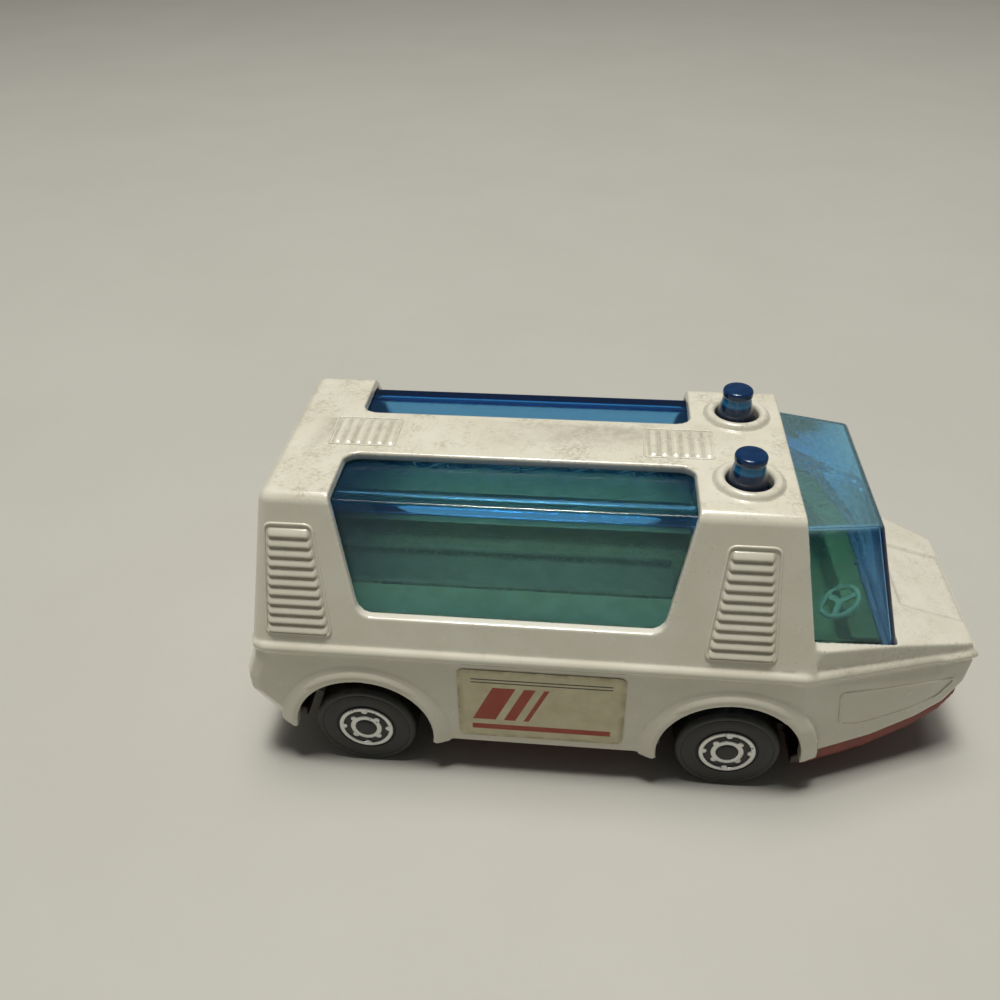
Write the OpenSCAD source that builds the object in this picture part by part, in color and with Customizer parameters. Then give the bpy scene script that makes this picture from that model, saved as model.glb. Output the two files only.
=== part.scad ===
// Toy ambulance: a white die-cast body over a red base plate, with blue glazing that
// wraps from the sides onto the roof, two roof beacons, a lifting tailgate and four free wheels.
// X runs to the nose, Y to the vehicle's left and Z up. The origin lies on the ground, under
// the middle of the toy.

/* [Overall] */
// Length from tail to nose
overall_len = 70; // [68:0.5:76]
// Width across the belt bead
belt_w = 30.8; // [30:0.1:33]
// Height of the belt bead's top above the ground
belt_h = 16; // [15.5:0.1:17]
// Height of the roof above the ground
roof_h = 30.3; // [29:0.1:33]
// Width across the roof before its edges are rounded
roof_w = 21.8; // [21:0.1:23]
// Height of the sills above the ground
sill_h = 4; // [3.6:0.1:4.4]

/* [Cabin] */
// Distance from the tail to the roof's rear edge
roof_setback = 3.1; // [2.6:0.1:4]
// Distance from the nose back to the roof's front edge
cab_len = 19.2; // [18.5:0.1:20.5]
// How far the rear face leans out between roof and belt
rear_lean = 1.7; // [1.2:0.1:2.2]
// How far the front pillar leans forward between roof and belt
front_lean = 2.6; // [2:0.1:3]
// Ledge between the belt bead and the cabin's foot
shoulder = 0.6; // [0.4:0.05:0.9]
// Wall of the casting
wall = 0.9; // [0.7:0.05:1]
// Rounding of the cabin's outer edges
cabin_r = 1.3; // [0.8:0.1:1.5]

/* [Side windows] */
// Roof length behind the side windows
rear_pillar = 6.4; // [5.8:0.1:7.5]
// Roof length ahead of the side windows
front_pillar = 8.8; // [8.4:0.1:9.6]
// Height of the window sill over the belt
window_rise = 2.9; // [2.4:0.1:3.6]
// How far each end of a window leans in between roof and sill
window_lean = 2.4; // [1.8:0.1:3]
// Corner rounding of the window openings
window_r = 1.5; // [0.8:0.1:2]
// Width of the rail that is left along the middle of the roof
rail_w = 7.5; // [6.5:0.1:9]

/* [Lower body] */
// How far the belt bead stands out from the lower side
bead = 0.25; // [0.15:0.05:0.4]
// Rounding of the belt bead
belt_r = 0.65; // [0.5:0.05:0.8]
// Rounding of the lower body's edges
low_r = 0.6; // [0.4:0.05:0.8]
// Rounding of the rear corners in plan
plan_r = 1.7; // [1:0.1:2.4]
// Width of the nose
nose_w = 16.6; // [16:0.1:18]
// Fall of the belt bead from the pillar to the nose
nose_drop = 2.3; // [2:0.1:2.6]
// Height of the nose from the chin to the belt bead's top
nose_face = 4.4; // [4:0.1:4.8]
// Fall from the belt to the hood's lip at the nose
lip_drop = 1.5; // [1.2:0.1:1.8]
// Rise from the belt to the hood at the foot of the windscreen
hood_rise = 0.7; // [0.5:0.1:1.2]
// Rise from the belt to the cowl beside the front pillar
cowl_rise = 2.3; // [2:0.1:2.6]

/* [Cab glazing] */
// Drop from the roof to the cab's glazed roof
canopy_drop = 1.7; // [1.4:0.1:2]
// Distance from the roof's front edge to the top of the windscreen
canopy_len = 7.2; // [6.6:0.1:7.8]
// Width across the top of the windscreen
screen_top_w = 17.3; // [16.5:0.1:18]
// Distance from the top of the windscreen to its foot on the hood
screen_lean = 3; // [2.6:0.1:3.4]
// Ledge of the cowl beside the foot of the windscreen
screen_ledge = 0.45; // [0.35:0.05:0.8]
// Thickness of the blue mouldings
glass_t = 0.9; // [0.7:0.05:1.1]
// Gap between the mouldings and the casting
glass_gap = 0.1; // [0.06:0.01:0.2]

/* [Wheels] */
// Diameter of the wheels
wheel_d = 10.1; // [9.6:0.1:10.4]
// Width of a wheel
wheel_t = 4; // [3.6:0.1:4.3]
// How far the wheels' outer faces lie inside the belt
wheel_inset = 0.4; // [0.2:0.05:0.7]
// Distance from the tail to the rear axle
rear_overhang = 11.5; // [11:0.1:12.5]
// Distance from the nose back to the front axle
front_overhang = 23.2; // [22.5:0.1:24]
// Gap between a wheel and its arch
arch_gap = 1.75; // [1.4:0.05:2]
// Width of the flare around an arch
flare_w = 1.7; // [1.2:0.1:2]
// How far the flares stand out from the lower side
flare_out = 0.5; // [0.3:0.05:0.6]
// Diameter of the axle wire
axle_d = 0.9; // [0.8:0.05:1.1]
// Running clearance between a wheel and its axle, on the radius
run_gap = 0.05; // [0.03:0.01:0.08]

/* [Hub foil] */
// Outer diameter of the foil's outer ring
foil_d = 5.4; // [5:0.1:5.8]
// Width of the foil's rings
foil_w = 0.42; // [0.3:0.02:0.5]
// Outer diameter of the foil's inner ring
foil_inner_d = 3.1; // [2.8:0.1:3.3]
// Number of tabs on each ring
foil_tabs = 4; // [3:1:6]
// Radius of a tab
foil_tab_r = 0.36; // [0.25:0.01:0.4]
// Thickness of the foil
foil_t = 0.1; // [0.06:0.01:0.15]

/* [Beacons] */
// Distance from the roof's front edge back to the beacons
beacon_back = 4.3; // [4.1:0.1:4.6]
// Distance between the beacons
beacon_pitch = 11.5; // [10.5:0.1:12]
// Diameter of the hole in the roof
beacon_hole_d = 4.2; // [4:0.05:4.6]
// Diameter of a lens at the roof
beacon_d = 3.5; // [3.2:0.05:3.6]
// Diameter of a lens at its shoulder
beacon_top_d = 2.9; // [2.6:0.05:3.1]
// Height of a lens over the roof
beacon_h = 3; // [2.6:0.1:3.6]
// Width of the collar around a hole
collar_w = 0.96; // [0.8:0.02:1.1]
// Height of the collar
collar_h = 0.55; // [0.5:0.01:0.7]

/* [Louvres] */
// Number of slats on each pillar
pillar_slats = 11; // [7:1:11]
// Distance from the roof down to the top slat
louvre_drop = 3.2; // [2.8:0.1:3.8]
// Distance from the belt up to the bottom slat
louvre_rise = 0.85; // [0.6:0.05:1.2]
// How far a slat stands out
slat_out = 0.26; // [0.15:0.01:0.35]
// Number of slats in each roof louvre
roof_slats = 6; // [4:1:6]
// Distance between the roof slats
roof_slat_pitch = 1.02; // [0.9:0.01:1.1]
// Width of the roof louvres
roof_louvre_w = 4.2; // [3.6:0.1:5]

/* [Tailgate] */
// Frame left between the tailgate and the corner of the cabin
gate_frame = 2.6; // [2.4:0.1:3.2]
// Distance from the roof down to the hinge line
hinge_drop = 3.1; // [2.9:0.1:3.5]
// Height of the tailgate's lower edge over the belt
gate_rise = 1; // [0.7:0.1:1.4]
// Thickness of the tailgate
gate_t = 0.9; // [0.8:0.05:1]
// Gap around the tailgate
gate_gap = 0.25; // [0.2:0.01:0.35]
// Diameter of the hinge knuckle
knuckle_d = 1.5; // [1.4:0.05:1.6]
// Diameter of the hinge wire
pin_d = 0.8; // [0.6:0.05:0.9]

/* [Base plate] */
// Thickness of the base plate
base_t = 1.2; // [1:0.05:1.4]
// Seam between the base plate and the body
base_seam = 0.05; // [0.03:0.01:0.1]
// Inset of the base plate from the lower side
base_inset = 0.35; // [0.25:0.05:0.5]
// Length of the flat pad under the base plate
pad_len = 15; // [12:0.5:17]
// Width of the flat pad under the base plate
pad_w = 15; // [12:0.5:18]
// Height of the pad
pad_t = 0.4; // [0.3:0.05:0.6]
// Diameter of the rivet heads
rivet_d = 3.2; // [2.8:0.1:3.6]

/* [Interior] */
// Gap between the wheels and the floor above them
floor_rise = 1.1; // [0.8:0.05:1.4]
// Thickness of the floor
floor_t = 1; // [0.8:0.05:1.2]
// Width of the aisle between the benches
aisle_w = 14; // [12:0.1:15]
// Diameter of the steering wheel
steer_d = 4.2; // [3.8:0.1:4.6]

/* [Labels] */
// Space left between a label and the flares
label_end = 1.25; // [0.8:0.05:2]
// Space left between a label and the sill
label_low = 1.3; // [0.8:0.05:2]
// Space left between a label and the belt bead
label_high = 0.4; // [0.2:0.05:1]
// Thickness of a label
label_t = 0.1; // [0.06:0.01:0.15]

/* [Hidden] */
$fn = 40;

// Colours as the photograph shows them
enamel = [0.86, 0.84, 0.76];
dark_red = [0.36, 0.09, 0.07];
blue = [0.12, 0.32, 0.52, 0.55];
deep_blue = [0.07, 0.18, 0.36];
ivory = [0.82, 0.80, 0.60];
tyre_black = [0.05, 0.05, 0.05];
silver = [0.75, 0.75, 0.73];
steel = [0.6, 0.6, 0.6];
cream = [0.85, 0.79, 0.58];

// Stations along the length
tail_x = -overall_len / 2;
nose_x = overall_len / 2;
roof_rear_x = tail_x + roof_setback;
roof_front_x = nose_x - cab_len;
rear_axle_x = tail_x + rear_overhang;
front_axle_x = nose_x - front_overhang;
track_w = belt_w - 2 * wheel_inset;
axle_z = wheel_d / 2;
arch_r = axle_z + arch_gap;
// The sides run straight to just ahead of the roof, then taper to the nose
taper_lag = 1.6;
taper_x = roof_front_x + taper_lag;
past = 1;                              // how far a cut runs past what it cuts
ball_fn = 24;                          // roundness of the balls inside a hull

// Heights of the nose and hood
nose_h = belt_h - nose_drop;
chin_h = nose_h - nose_face;
lip_h = belt_h - lip_drop;
hood_h = belt_h + hood_rise;
cowl_h = belt_h + cowl_rise;

// Half widths of the lower body
belt_y = belt_w / 2;
side_y = belt_y - bead;
nose_y = nose_w / 2;
taper_run = (belt_y - nose_y) / (nose_x - taper_x);

// Slopes of the cabin's faces, as run over rise
cabin_rise = roof_h - belt_h;
side_run = (belt_y - shoulder - roof_w / 2) / cabin_rise;
rear_run = rear_lean / cabin_rise;
front_run = front_lean / cabin_rise;
window_sill = belt_h + window_rise;
window_run = window_lean / (roof_h - window_sill);
side_angle = atan(side_run);
rear_angle = atan(rear_run);
function slant(run) = sqrt(1 + run * run);

// Half width of the cabin's side at height z, moved in by d square to the face
function cabin_y(z, d = 0) = roof_w / 2 + side_run * (roof_h - z) - d * slant(side_run);
// Place of the cabin's rear face at height z, moved in by d
function cabin_rear(z, d = 0) = roof_rear_x - rear_run * (roof_h - z) + d * slant(rear_run);
// Place of the cabin's open front at height z
function cabin_front(z) = roof_front_x + front_run * (roof_h - z);
// Ends of the side windows at height z
function window_rear(z) = roof_rear_x + rear_pillar + window_run * (roof_h - z);
function window_front(z) = roof_front_x - front_pillar - window_run * (roof_h - z);
// Half width of the belt bead in plan at x, moved in by d
function belt_at(x, d = 0) =
    x < taper_x ? belt_y - d : belt_y - taper_run * (x - taper_x) - d * slant(taper_run);

// Outline with every corner of a convex polygon rounded to radius r
function unit(v) = v / norm(v);
function fillet(p, a, b, r, steps = 6) =
    let (u = unit(a - p), v = unit(b - p), half = acos(u * v) / 2,
         c = p + unit(u + v) * r / sin(half),
         t0 = p + u * r / tan(half) - c, t1 = p + v * r / tan(half) - c)
    [for (i = [0:steps]) c + r * unit(t0 * (1 - i / steps) + t1 * i / steps)];
function rounded(pts, r) =
    let (n = len(pts))
    [for (i = [0:n - 1]) each fillet(pts[i], pts[(i + n - 1) % n], pts[(i + 1) % n], r)];
function mirrored(pts) =
    concat(pts, [for (i = [len(pts) - 1:-1:0]) [pts[i][0], -pts[i][1]]]);

// A profile drawn in X and Z, run across the toy
module across(width) {
    rotate([90, 0, 0]) linear_extrude(width, center = true) children();
}
// A section drawn in Y and Z, run along the toy from x0 to x1
module along(x0, x1) {
    translate([x0, 0, 0]) rotate([90, 0, 90]) linear_extrude(x1 - x0) children();
}
// Convex form through balls of radius r at points of the right half and their mirror images
module ball_form(points, r) {
    hull() for (p = points, s = [-1, 1]) translate([p[0], s * p[1], p[2]]) sphere(r, $fn = ball_fn);
}

// Form between two sections that mirror in Y: a is the left half of the rear section, from top
// to foot, and b that of the front section, with as many points
module prism_form(a, b) {
    n = len(a);
    flip = function(pts) [for (i = [n - 1:-1:0]) [pts[i][0], -pts[i][1], pts[i][2]]];
    ring_a = concat(a, flip(a));
    ring_b = concat(b, flip(b));
    m = 2 * n;
    ends = [for (i = [0:n - 2]) let (l = m - 2 - i, k = m - 1 - i) each [
        [i, l, i + 1], [i, k, l], [m + i, m + i + 1, m + l], [m + i, m + l, m + k]]];
    sides = [for (i = [0:m - 1]) let (j = (i + 1) % m) each [[i, j, m + j], [i, m + j, m + i]]];
    polyhedron(concat(ring_a, ring_b), concat(ends, sides));
}

// Lower edge of the body from tail to chin, in X and Z
tail_tuck = 1.7;
arch_lap = 0.4;
tail_low_up = 2.2;                     // heights over the sills, at the tail and behind each arch
arch_end_up = 0.8;
chin_rear_up = 0.5;
tail_low_h = sill_h + tail_low_up;
arch_end_h = sill_h + arch_end_up;
chin_rear_x = front_axle_x + arch_r - arch_lap / 2;
chin_rear_h = sill_h + chin_rear_up;
// Points of the chin's curve, as shares of the way from the arch to the nose and up to the chin
chin_curve = [[0.43, 0.07], [0.69, 0.29], [0.84, 0.56]];
under_line = [
    [tail_x + tail_tuck, tail_low_h],
    [rear_axle_x - arch_r + arch_lap, arch_end_h],
    [rear_axle_x + arch_r, sill_h],
    [front_axle_x - arch_r, sill_h],
    [chin_rear_x, chin_rear_h],
    for (p = chin_curve)
        [chin_rear_x + p[0] * (nose_x - chin_rear_x), chin_rear_h + p[1] * (chin_h - chin_rear_h)],
    [nose_x - low_r, chin_h]
];
under_last = len(under_line) - 1;
// Middles of the rounded lower edge under the nose, and a line set off from it by d
chin_mids = [for (i = [4:under_last])
    [under_line[i][0] - (i == under_last ? low_r : 0), under_line[i][1] + low_r]];
function below(a, b) = let (u = unit(b - a)) [u[1], -u[0]];
function set_off(pts, d) = let (n = len(pts) - 1) [for (i = [0:n])
    let (p = below(pts[max(i - 1, 0)], pts[max(i, 1)]), q = below(pts[min(i, n - 1)], pts[min(i + 1, n)]))
    pts[i] + d * (p + q) / (1 + p * q)];

// Upper body: outer form, cut off square at the open front
cabin_sink = 2;
cabin_low = belt_h - cabin_sink;
cabin_foot = belt_h - 1.5 * belt_r;
module cabin_form() {
    top = roof_h - cabin_r;
    difference() {
        ball_form([for (z = [top, cabin_low]) each
            [[cabin_rear(z, cabin_r), cabin_y(z, cabin_r), z],
             [cabin_front(z) + cabin_r, cabin_y(z, cabin_r), z]]], cabin_r);
        across(2 * belt_w) polygon([
            [cabin_front(roof_h + past), roof_h + past], [nose_x, roof_h + past], [nose_x, 0],
            [tail_x - past, 0], [tail_x - past, cabin_foot], [cabin_front(cabin_foot), cabin_foot]]);
    }
}

// Space inside the cabin, moved in by d from its faces, between two stations. Its front stops short
// of the open front by half the tuck of the cab glazing, and below the belt by the whole tuck
canopy_tuck = 1.2;                     // how far the cab glazing runs on under the roof
module cabin_core(d, x0, x1, low) {
    top = roof_h - d;
    intersection() {
        along(x0, x1) polygon([
            [-cabin_y(low, d), low], [cabin_y(low, d), low], [cabin_y(top, d), top], [-cabin_y(top, d), top]]);
        across(2 * belt_w) polygon([
            [cabin_rear(low, d), low], [cabin_front(belt_h) - canopy_tuck, low],
            [cabin_front(belt_h + past) - canopy_tuck / 2, belt_h + past],
            [cabin_front(top) - canopy_tuck / 2, top], [cabin_rear(top, d), top]]);
    }
}

// Belt bead: a round rod along the belt line, mitred at its corners, all round the body
belt_rear_x = tail_x + roof_setback - rear_lean;
bead_sides = 14;
function tail_corner(x, y, z, r) = [for (t = [0, 45, 90])
    [x + plan_r - (plan_r - r) * cos(t), y - plan_r + (plan_r - r) * sin(t), z]];
function flat(v) = [v[0], v[1]];
// Section of the rod at point b, between its neighbours a and c, with its side square to the mitre
function bead_section(a, b, c) =
    let (u = unit(flat(b - a)), v = unit(flat(c - b)), bisector = unit(u + v),
         wide = belt_r / (bisector * u))
    [for (i = [0:bead_sides - 1]) let (t = 360 * i / bead_sides)
        b + [bisector[1] * wide * cos(t), -bisector[0] * wide * cos(t), belt_r * sin(t)]];
module belt_form() {
    left = concat(
        tail_corner(belt_rear_x - bead, belt_y, belt_h - belt_r, belt_r),
        [[taper_x, belt_y - belt_r, belt_h - belt_r], [nose_x - belt_r, nose_y - belt_r, nose_h - belt_r]]);
    ring = concat(left, [for (i = [len(left) - 1:-1:0]) [left[i][0], -left[i][1], left[i][2]]]);
    n = len(ring);
    pts = [for (i = [0:n - 1]) each bead_section(ring[(i + n - 1) % n], ring[i], ring[(i + 1) % n])];
    polyhedron(pts, [for (i = [0:n - 1], k = [0:bead_sides - 1])
        let (a = i * bead_sides, b = (i + 1) % n * bead_sides, j = (k + 1) % bead_sides)
        each [[a + k, a + j, b + j], [a + k, b + j, b + k]]]);
}

// Lower body below the bead, swelling to the tail and rising to the chin
tail_mid_h = (belt_h + tail_low_h) / 2;
tail_flat = 0.8;
module lower_form() {
    under_bead = belt_h - belt_r - low_r;
    ball_form(concat(
        tail_corner(belt_rear_x, side_y, under_bead, low_r),
        tail_corner(tail_x, side_y, tail_mid_h, low_r),
        tail_corner(tail_x, side_y, tail_mid_h - 2 * tail_flat, low_r),
        tail_corner(under_line[0][0], side_y - bead, under_line[0][1] + low_r, low_r),
        [for (p = concat([for (i = [1:3]) under_line[i] + [0, low_r]], chin_mids))
            [p[0], belt_at(p[0], bead) - low_r, p[1]]],
        [[taper_x, side_y - low_r, under_bead],
         [nose_x - 2 * low_r, nose_y - bead - low_r, nose_h - belt_r - low_r]]), low_r);
}

// Cowl and hood above the bead, ahead of the front pillars
screen_foot_x = roof_front_x + canopy_len + screen_lean;
screen_foot_y = belt_at(screen_foot_x, shoulder) - screen_ledge;
lip_back = 0.8;                        // from the nose back to the hood's lip
lip_x = nose_x - lip_back;
function hood_line(x) = x < screen_foot_x
    ? cowl_h + (hood_h - cowl_h) * (x - cabin_front(cowl_h)) / (screen_foot_x - cabin_front(cowl_h))
    : hood_h + (lip_h - hood_h) * (x - screen_foot_x) / (lip_x - screen_foot_x);
cowl_skin = 0.03;                      // keeps the cowl's side just inside the cabin's
module cowl_form() {
    rear = cabin_front(cowl_h) - wall;
    foot = nose_h - 2 * belt_r;
    intersection() {
        translate([0, 0, foot]) linear_extrude(cowl_h) polygon(mirrored([
            [rear, -belt_at(rear, shoulder)], [lip_x, -belt_at(lip_x, shoulder)]]));
        across(2 * belt_w) polygon([
            [rear - past, foot], [lip_x + past, foot], [lip_x + past, hood_line(lip_x + past)],
            [screen_foot_x, hood_h], [rear - past, hood_line(rear - past)]]);
        along(rear - past, nose_x) polygon([
            [-cabin_y(foot, cowl_skin), foot - past], [cabin_y(foot, cowl_skin), foot - past],
            [cabin_y(roof_h, cowl_skin), roof_h], [-cabin_y(roof_h, cowl_skin), roof_h]]);
    }
}

// Rounded flares around the arches, kept close to the sides in plan
module flares() {
    mid = arch_r + flare_w / 2;
    lip_y = side_y + flare_out;
    intersection() {
        for (x = [rear_axle_x, front_axle_x], s = [-1, 1])
            translate([x, 0, axle_z]) rotate([-90 * s, 0, 0]) rotate_extrude() polygon([
                [arch_r - wall, side_y - wall], [arch_r - wall, lip_y - flare_out / 2],
                [arch_r + flare_out, lip_y], [mid, lip_y - flare_out / 4],
                [arch_r + flare_w, side_y], [arch_r + flare_w, side_y - wall]]);
        linear_extrude(belt_h) polygon(mirrored([
            [tail_x + plan_r, -belt_y - flare_out], [taper_x, -belt_y - flare_out],
            [nose_x, -nose_y - flare_out]]));
        across(2 * belt_w) polygon(concat(under_line, [[nose_x, belt_h], [tail_x, belt_h]]));
    }
}

// Space inside the lower body, open below
roof_ledge = 1.3;                      // depth of metal left under the belt ledge and the hood
module lower_space() {
    rear = belt_rear_x + wall + plan_r / 2;
    front = nose_x - 3 * wall;
    top = belt_h - roof_ledge;
    intersection() {
        linear_extrude(belt_h) polygon(mirrored([
            [rear, -side_y + wall], [taper_x, -belt_at(taper_x, bead + wall)],
            [front, -belt_at(front, bead + wall)]]));
        across(2 * belt_w) polygon([
            [rear, -past], [rear, top], [taper_x, top], [front, nose_h - roof_ledge], [front, -past]]);
    }
}

// Half sections of the cab glazing, grown by g: its top edge, the line where it meets the cowl, and
// a straight foot below that
glass_in = wall + glass_gap;
canopy_top = roof_h - canopy_drop;
canopy_fall = 0.4;                     // drop of the glazed roof towards the windscreen
canopy_foot = hood_h - 1;
screen_top_x = roof_front_x + canopy_len;
screen_run = screen_lean / (canopy_top - canopy_fall - hood_h);
function straight_down(p, z) = [p[0], p[1], z];
function canopy_rear(g) = [
    [roof_front_x - canopy_tuck, cabin_y(canopy_top, glass_in - g), canopy_top + g],
    [cabin_front(cowl_h) - canopy_tuck, cabin_y(cowl_h, glass_in - g), cowl_h]];
function canopy_front(g) = [
    [screen_top_x + g * slant(screen_run), screen_top_w / 2 + g, canopy_top - canopy_fall + g],
    [screen_foot_x + g * slant(screen_run), screen_foot_y + g, hood_h]];
// The foot goes down to height low, and the rear runs on by the share k of the length
module canopy_form(g, low, k = 0) {
    rear = canopy_rear(g);
    front = canopy_front(g);
    back = [for (i = [0, 1]) rear[i] + (rear[i] - front[i]) * k];
    prism_form(concat(back, [straight_down(back[1], low)]), concat(front, [straight_down(front[1], low)]));
}

// Way from the cab down into the lower body, inside the foot of the glazing
module cab_well() {
    rear = canopy_rear(-glass_t)[1];
    front = canopy_front(-glass_t)[1];
    translate([0, 0, chin_h]) linear_extrude(canopy_foot + past - chin_h) polygon(mirrored([
        [rear[0], -rear[1]], [front[0], -front[1]]]));
}

// Opening of one side window, from its sill up and over onto the roof
module window_cut() {
    top = roof_h + 2 * window_r;
    intersection() {
        across(2 * belt_w) polygon(rounded([
            [window_rear(window_sill), window_sill], [window_front(window_sill), window_sill],
            [window_front(top), top], [window_rear(top), top]], window_r));
        translate([0, 0, belt_h]) linear_extrude(2 * roof_h) polygon(rounded([
            [window_rear(roof_h), rail_w / 2], [window_front(roof_h), rail_w / 2],
            [window_front(roof_h), belt_w], [window_rear(roof_h), belt_w]], window_r));
    }
}

// Frames that lie on the right (-1) or left (1) side of the cabin, and on its rear face
module on_side(s) {
    translate([0, s * roof_w / 2, roof_h]) rotate([s * side_angle, 0, 0]) children();
}
module on_rear() {
    translate([roof_rear_x, 0, roof_h]) rotate([0, rear_angle, 0]) children();
}

// Louvres: wedge slats on the pillars, and bars on the roof
louvre_top = roof_h - louvre_drop;
slat_pitch = (louvre_top - belt_h - louvre_rise) / pillar_slats;
louvre_sink = 0.3;                     // how far a slat is rooted in the wall
slat_fill = 0.75;                      // height of a slat as a share of the pitch
module pillar_louvre(s, x0, x1) {
    down = slant(side_run);
    for (i = [0:pillar_slats - 1]) {
        z = louvre_top - i * slat_pitch;
        on_side(s) translate([0, 0, (z - roof_h) * down]) along(x0[0] + i * x0[1], x1[0] + i * x1[1])
            polygon([[-s * louvre_sink, 0], [0, 0], [s * slat_out, -slat_fill * slat_pitch],
                     [-s * louvre_sink, -slat_fill * slat_pitch]]);
    }
}
rear_margin = 1.35;                    // from a rear louvre to the rear corner
sill_margin = 2.5;                     // from a rear louvre to the window
front_margin = 3;                      // from a front louvre to the front edge
window_margin = 3.65;                  // from a front louvre to the window
louvre_splay = 0.6;                    // share of the pillar's spread that the slats follow
roof_louvre_lap = 1.4;                 // how far the rear roof louvre reaches behind the windows
roof_louvre_back = 4;                  // how far the front roof louvre reaches behind their front end
module louvres() {
    for (s = [-1, 1]) {
        pillar_louvre(s,
            [cabin_rear(louvre_top) + rear_margin, -louvre_splay * rear_run * slat_pitch],
            [window_rear(louvre_top) - sill_margin, louvre_splay * window_run * slat_pitch]);
        pillar_louvre(s,
            [window_front(louvre_top) + window_margin, -louvre_splay * window_run * slat_pitch],
            [cabin_front(louvre_top) - front_margin, louvre_splay * front_run * slat_pitch]);
    }
    rear_start = roof_rear_x + rear_pillar - roof_louvre_lap;
    front_start = roof_front_x - front_pillar - roof_louvre_back;
    for (x = [rear_start, front_start], i = [0:roof_slats - 1])
        translate([x + i * roof_slat_pitch, -roof_louvre_w / 2, roof_h - louvre_sink])
            cube([roof_slat_pitch / 2, roof_louvre_w, louvre_sink + slat_out / 2]);
}

// Collars of the beacon holes
beacon_x = roof_front_x - beacon_back;
module at_beacon(s, x = beacon_x) {
    translate([x, s * beacon_pitch / 2, roof_h]) children();
}
module collar() {
    rotate_extrude() translate([(beacon_hole_d + collar_w) / 2, collar_h - collar_w / 2])
        circle(collar_w / 2, $fn = 20);
}

// Hinge of the tailgate, in the frame of the rear face
pin_gap = 0.03;                        // clearance of the wire in the ears and the knuckle
ear_w = 1.5;
ear_half = 1;
ear_skin = 0.1;                        // metal left outside the ears
ear_deep = 1.7;
pin_cover = 0.4;                       // metal left beyond the ends of the wire
hinge_in = knuckle_d / 2;
hinge_z = roof_h - hinge_drop;
gate_top = -(roof_h - hinge_z) * slant(rear_run);
gate_low = -(roof_h - belt_h - gate_rise) * slant(rear_run);
function gate_y(z) = cabin_y(roof_h + z / slant(rear_run)) - gate_frame;
// Outline of the tailgate in Y and Z of the rear face, from its hinge line or from higher up
module gate_outline(grow, top) {
    low = gate_low - grow;
    polygon([
        [-gate_y(low) - grow, low], [gate_y(low) + grow, low],
        [gate_y(top) + grow, top], [-gate_y(top) - grow, top]]);
}
gate_hinge_y = gate_y(gate_top);       // half length of the knuckle
ear_y = gate_hinge_y + gate_gap;       // inner face of the ears
pin_half = ear_y + ear_w - pin_cover;
module hinge_line(y0, y1) {
    on_rear() translate([hinge_in, y0, gate_top]) rotate([-90, 0, 0]) linear_extrude(y1 - y0) children();
}

// Posts that carry the base plate, and the rivets in them
post_r = 1.5;
shank_r = 0.8;
shank_gap = 0.05;
shank_len = 2.5;
head_t = 0.5;
boss_lip = 0.5;
boss_r = rivet_d / 2 + boss_lip;
rear_post_back = 4;
front_post_share = 0.6;                // place of the front post between the arch and the nose
rear_post_x = rear_axle_x - rear_post_back;
front_post_x = chin_rear_x + front_post_share * (nose_x - chin_rear_x);
floor_z = wheel_d + floor_rise;
function under_at(x) = lookup(x, under_line);
// The plate follows the lower edge under the axles and the chin, but rises inside the walls between
// the wheels and at the tail
ramp_start = 3;
ramp_end = 0.8;
base_rear_x = belt_rear_x + wall + plan_r / 2 + base_inset;
function seam_at(x, up = 0) = [x, under_at(x) + up - base_seam];
base_line = concat([
    seam_at(base_rear_x, base_t),
    seam_at(rear_axle_x - arch_r + ramp_end, base_t),
    seam_at(rear_axle_x - ramp_start),
    seam_at(rear_axle_x + ramp_start),
    seam_at(rear_axle_x + arch_r - ramp_end, base_t),
    seam_at(front_axle_x - arch_r + ramp_end, base_t),
    seam_at(front_axle_x - ramp_start)],
    set_off(chin_mids, low_r + base_seam));
function base_top(x) = lookup(x, base_line);
// A post's level foot stands on the highest point of the plate under it, and a boss under the plate
// gives each rivet a level seat
function post_foot(x) = max(base_top(x - post_r), base_top(x), base_top(x + post_r));
function seat_z(x) = min(base_top(x - boss_r), base_top(x + boss_r)) - base_t;

module posts() {
    web_t = 1.6;
    rear_top = floor_z - base_inset;
    web_low = post_foot(rear_post_x) + shank_len;
    web_rear = base_rear_x - base_inset - wall / 2;
    for (p = [[rear_post_x, rear_top], [front_post_x, hood_line(front_post_x) - past]])
        translate([p[0], 0, post_foot(p[0])]) {
            tall = p[1] - post_foot(p[0]);
            linear_extrude(shank_len) difference() {
                circle(post_r);
                circle(shank_r + shank_gap);
            }
            translate([0, 0, shank_len]) cylinder(r = post_r, h = tall - shank_len);
        }
    translate([web_rear, -web_t / 2, web_low])
        cube([rear_post_x - web_rear, web_t, rear_top - web_low]);
}

// Grille recess in the nose and the sunken panel of the hood
grille_w = 10;
grille_h = 1.5;
grille_depth = 0.5;
hood_panel_w = 9.8;
hood_panel_depth = 0.35;
hood_panel_back = 6.4;                 // from the hood's lip back to the panel's rear edge
module nose_cuts() {
    grille_z = (chin_h + nose_h - 2 * belt_r) / 2;
    translate([nose_x - grille_depth, -grille_w / 2, grille_z - grille_h / 2])
        cube([grille_depth + past, grille_w, grille_h]);
    x0 = lip_x - hood_panel_back;
    x1 = nose_x + past;
    across(hood_panel_w) polygon([
        [x0, hood_line(x0) - hood_panel_depth], [x1, hood_line(x1) - hood_panel_depth],
        [x1, hood_h + past], [x0, hood_h + past]]);
}

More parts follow.
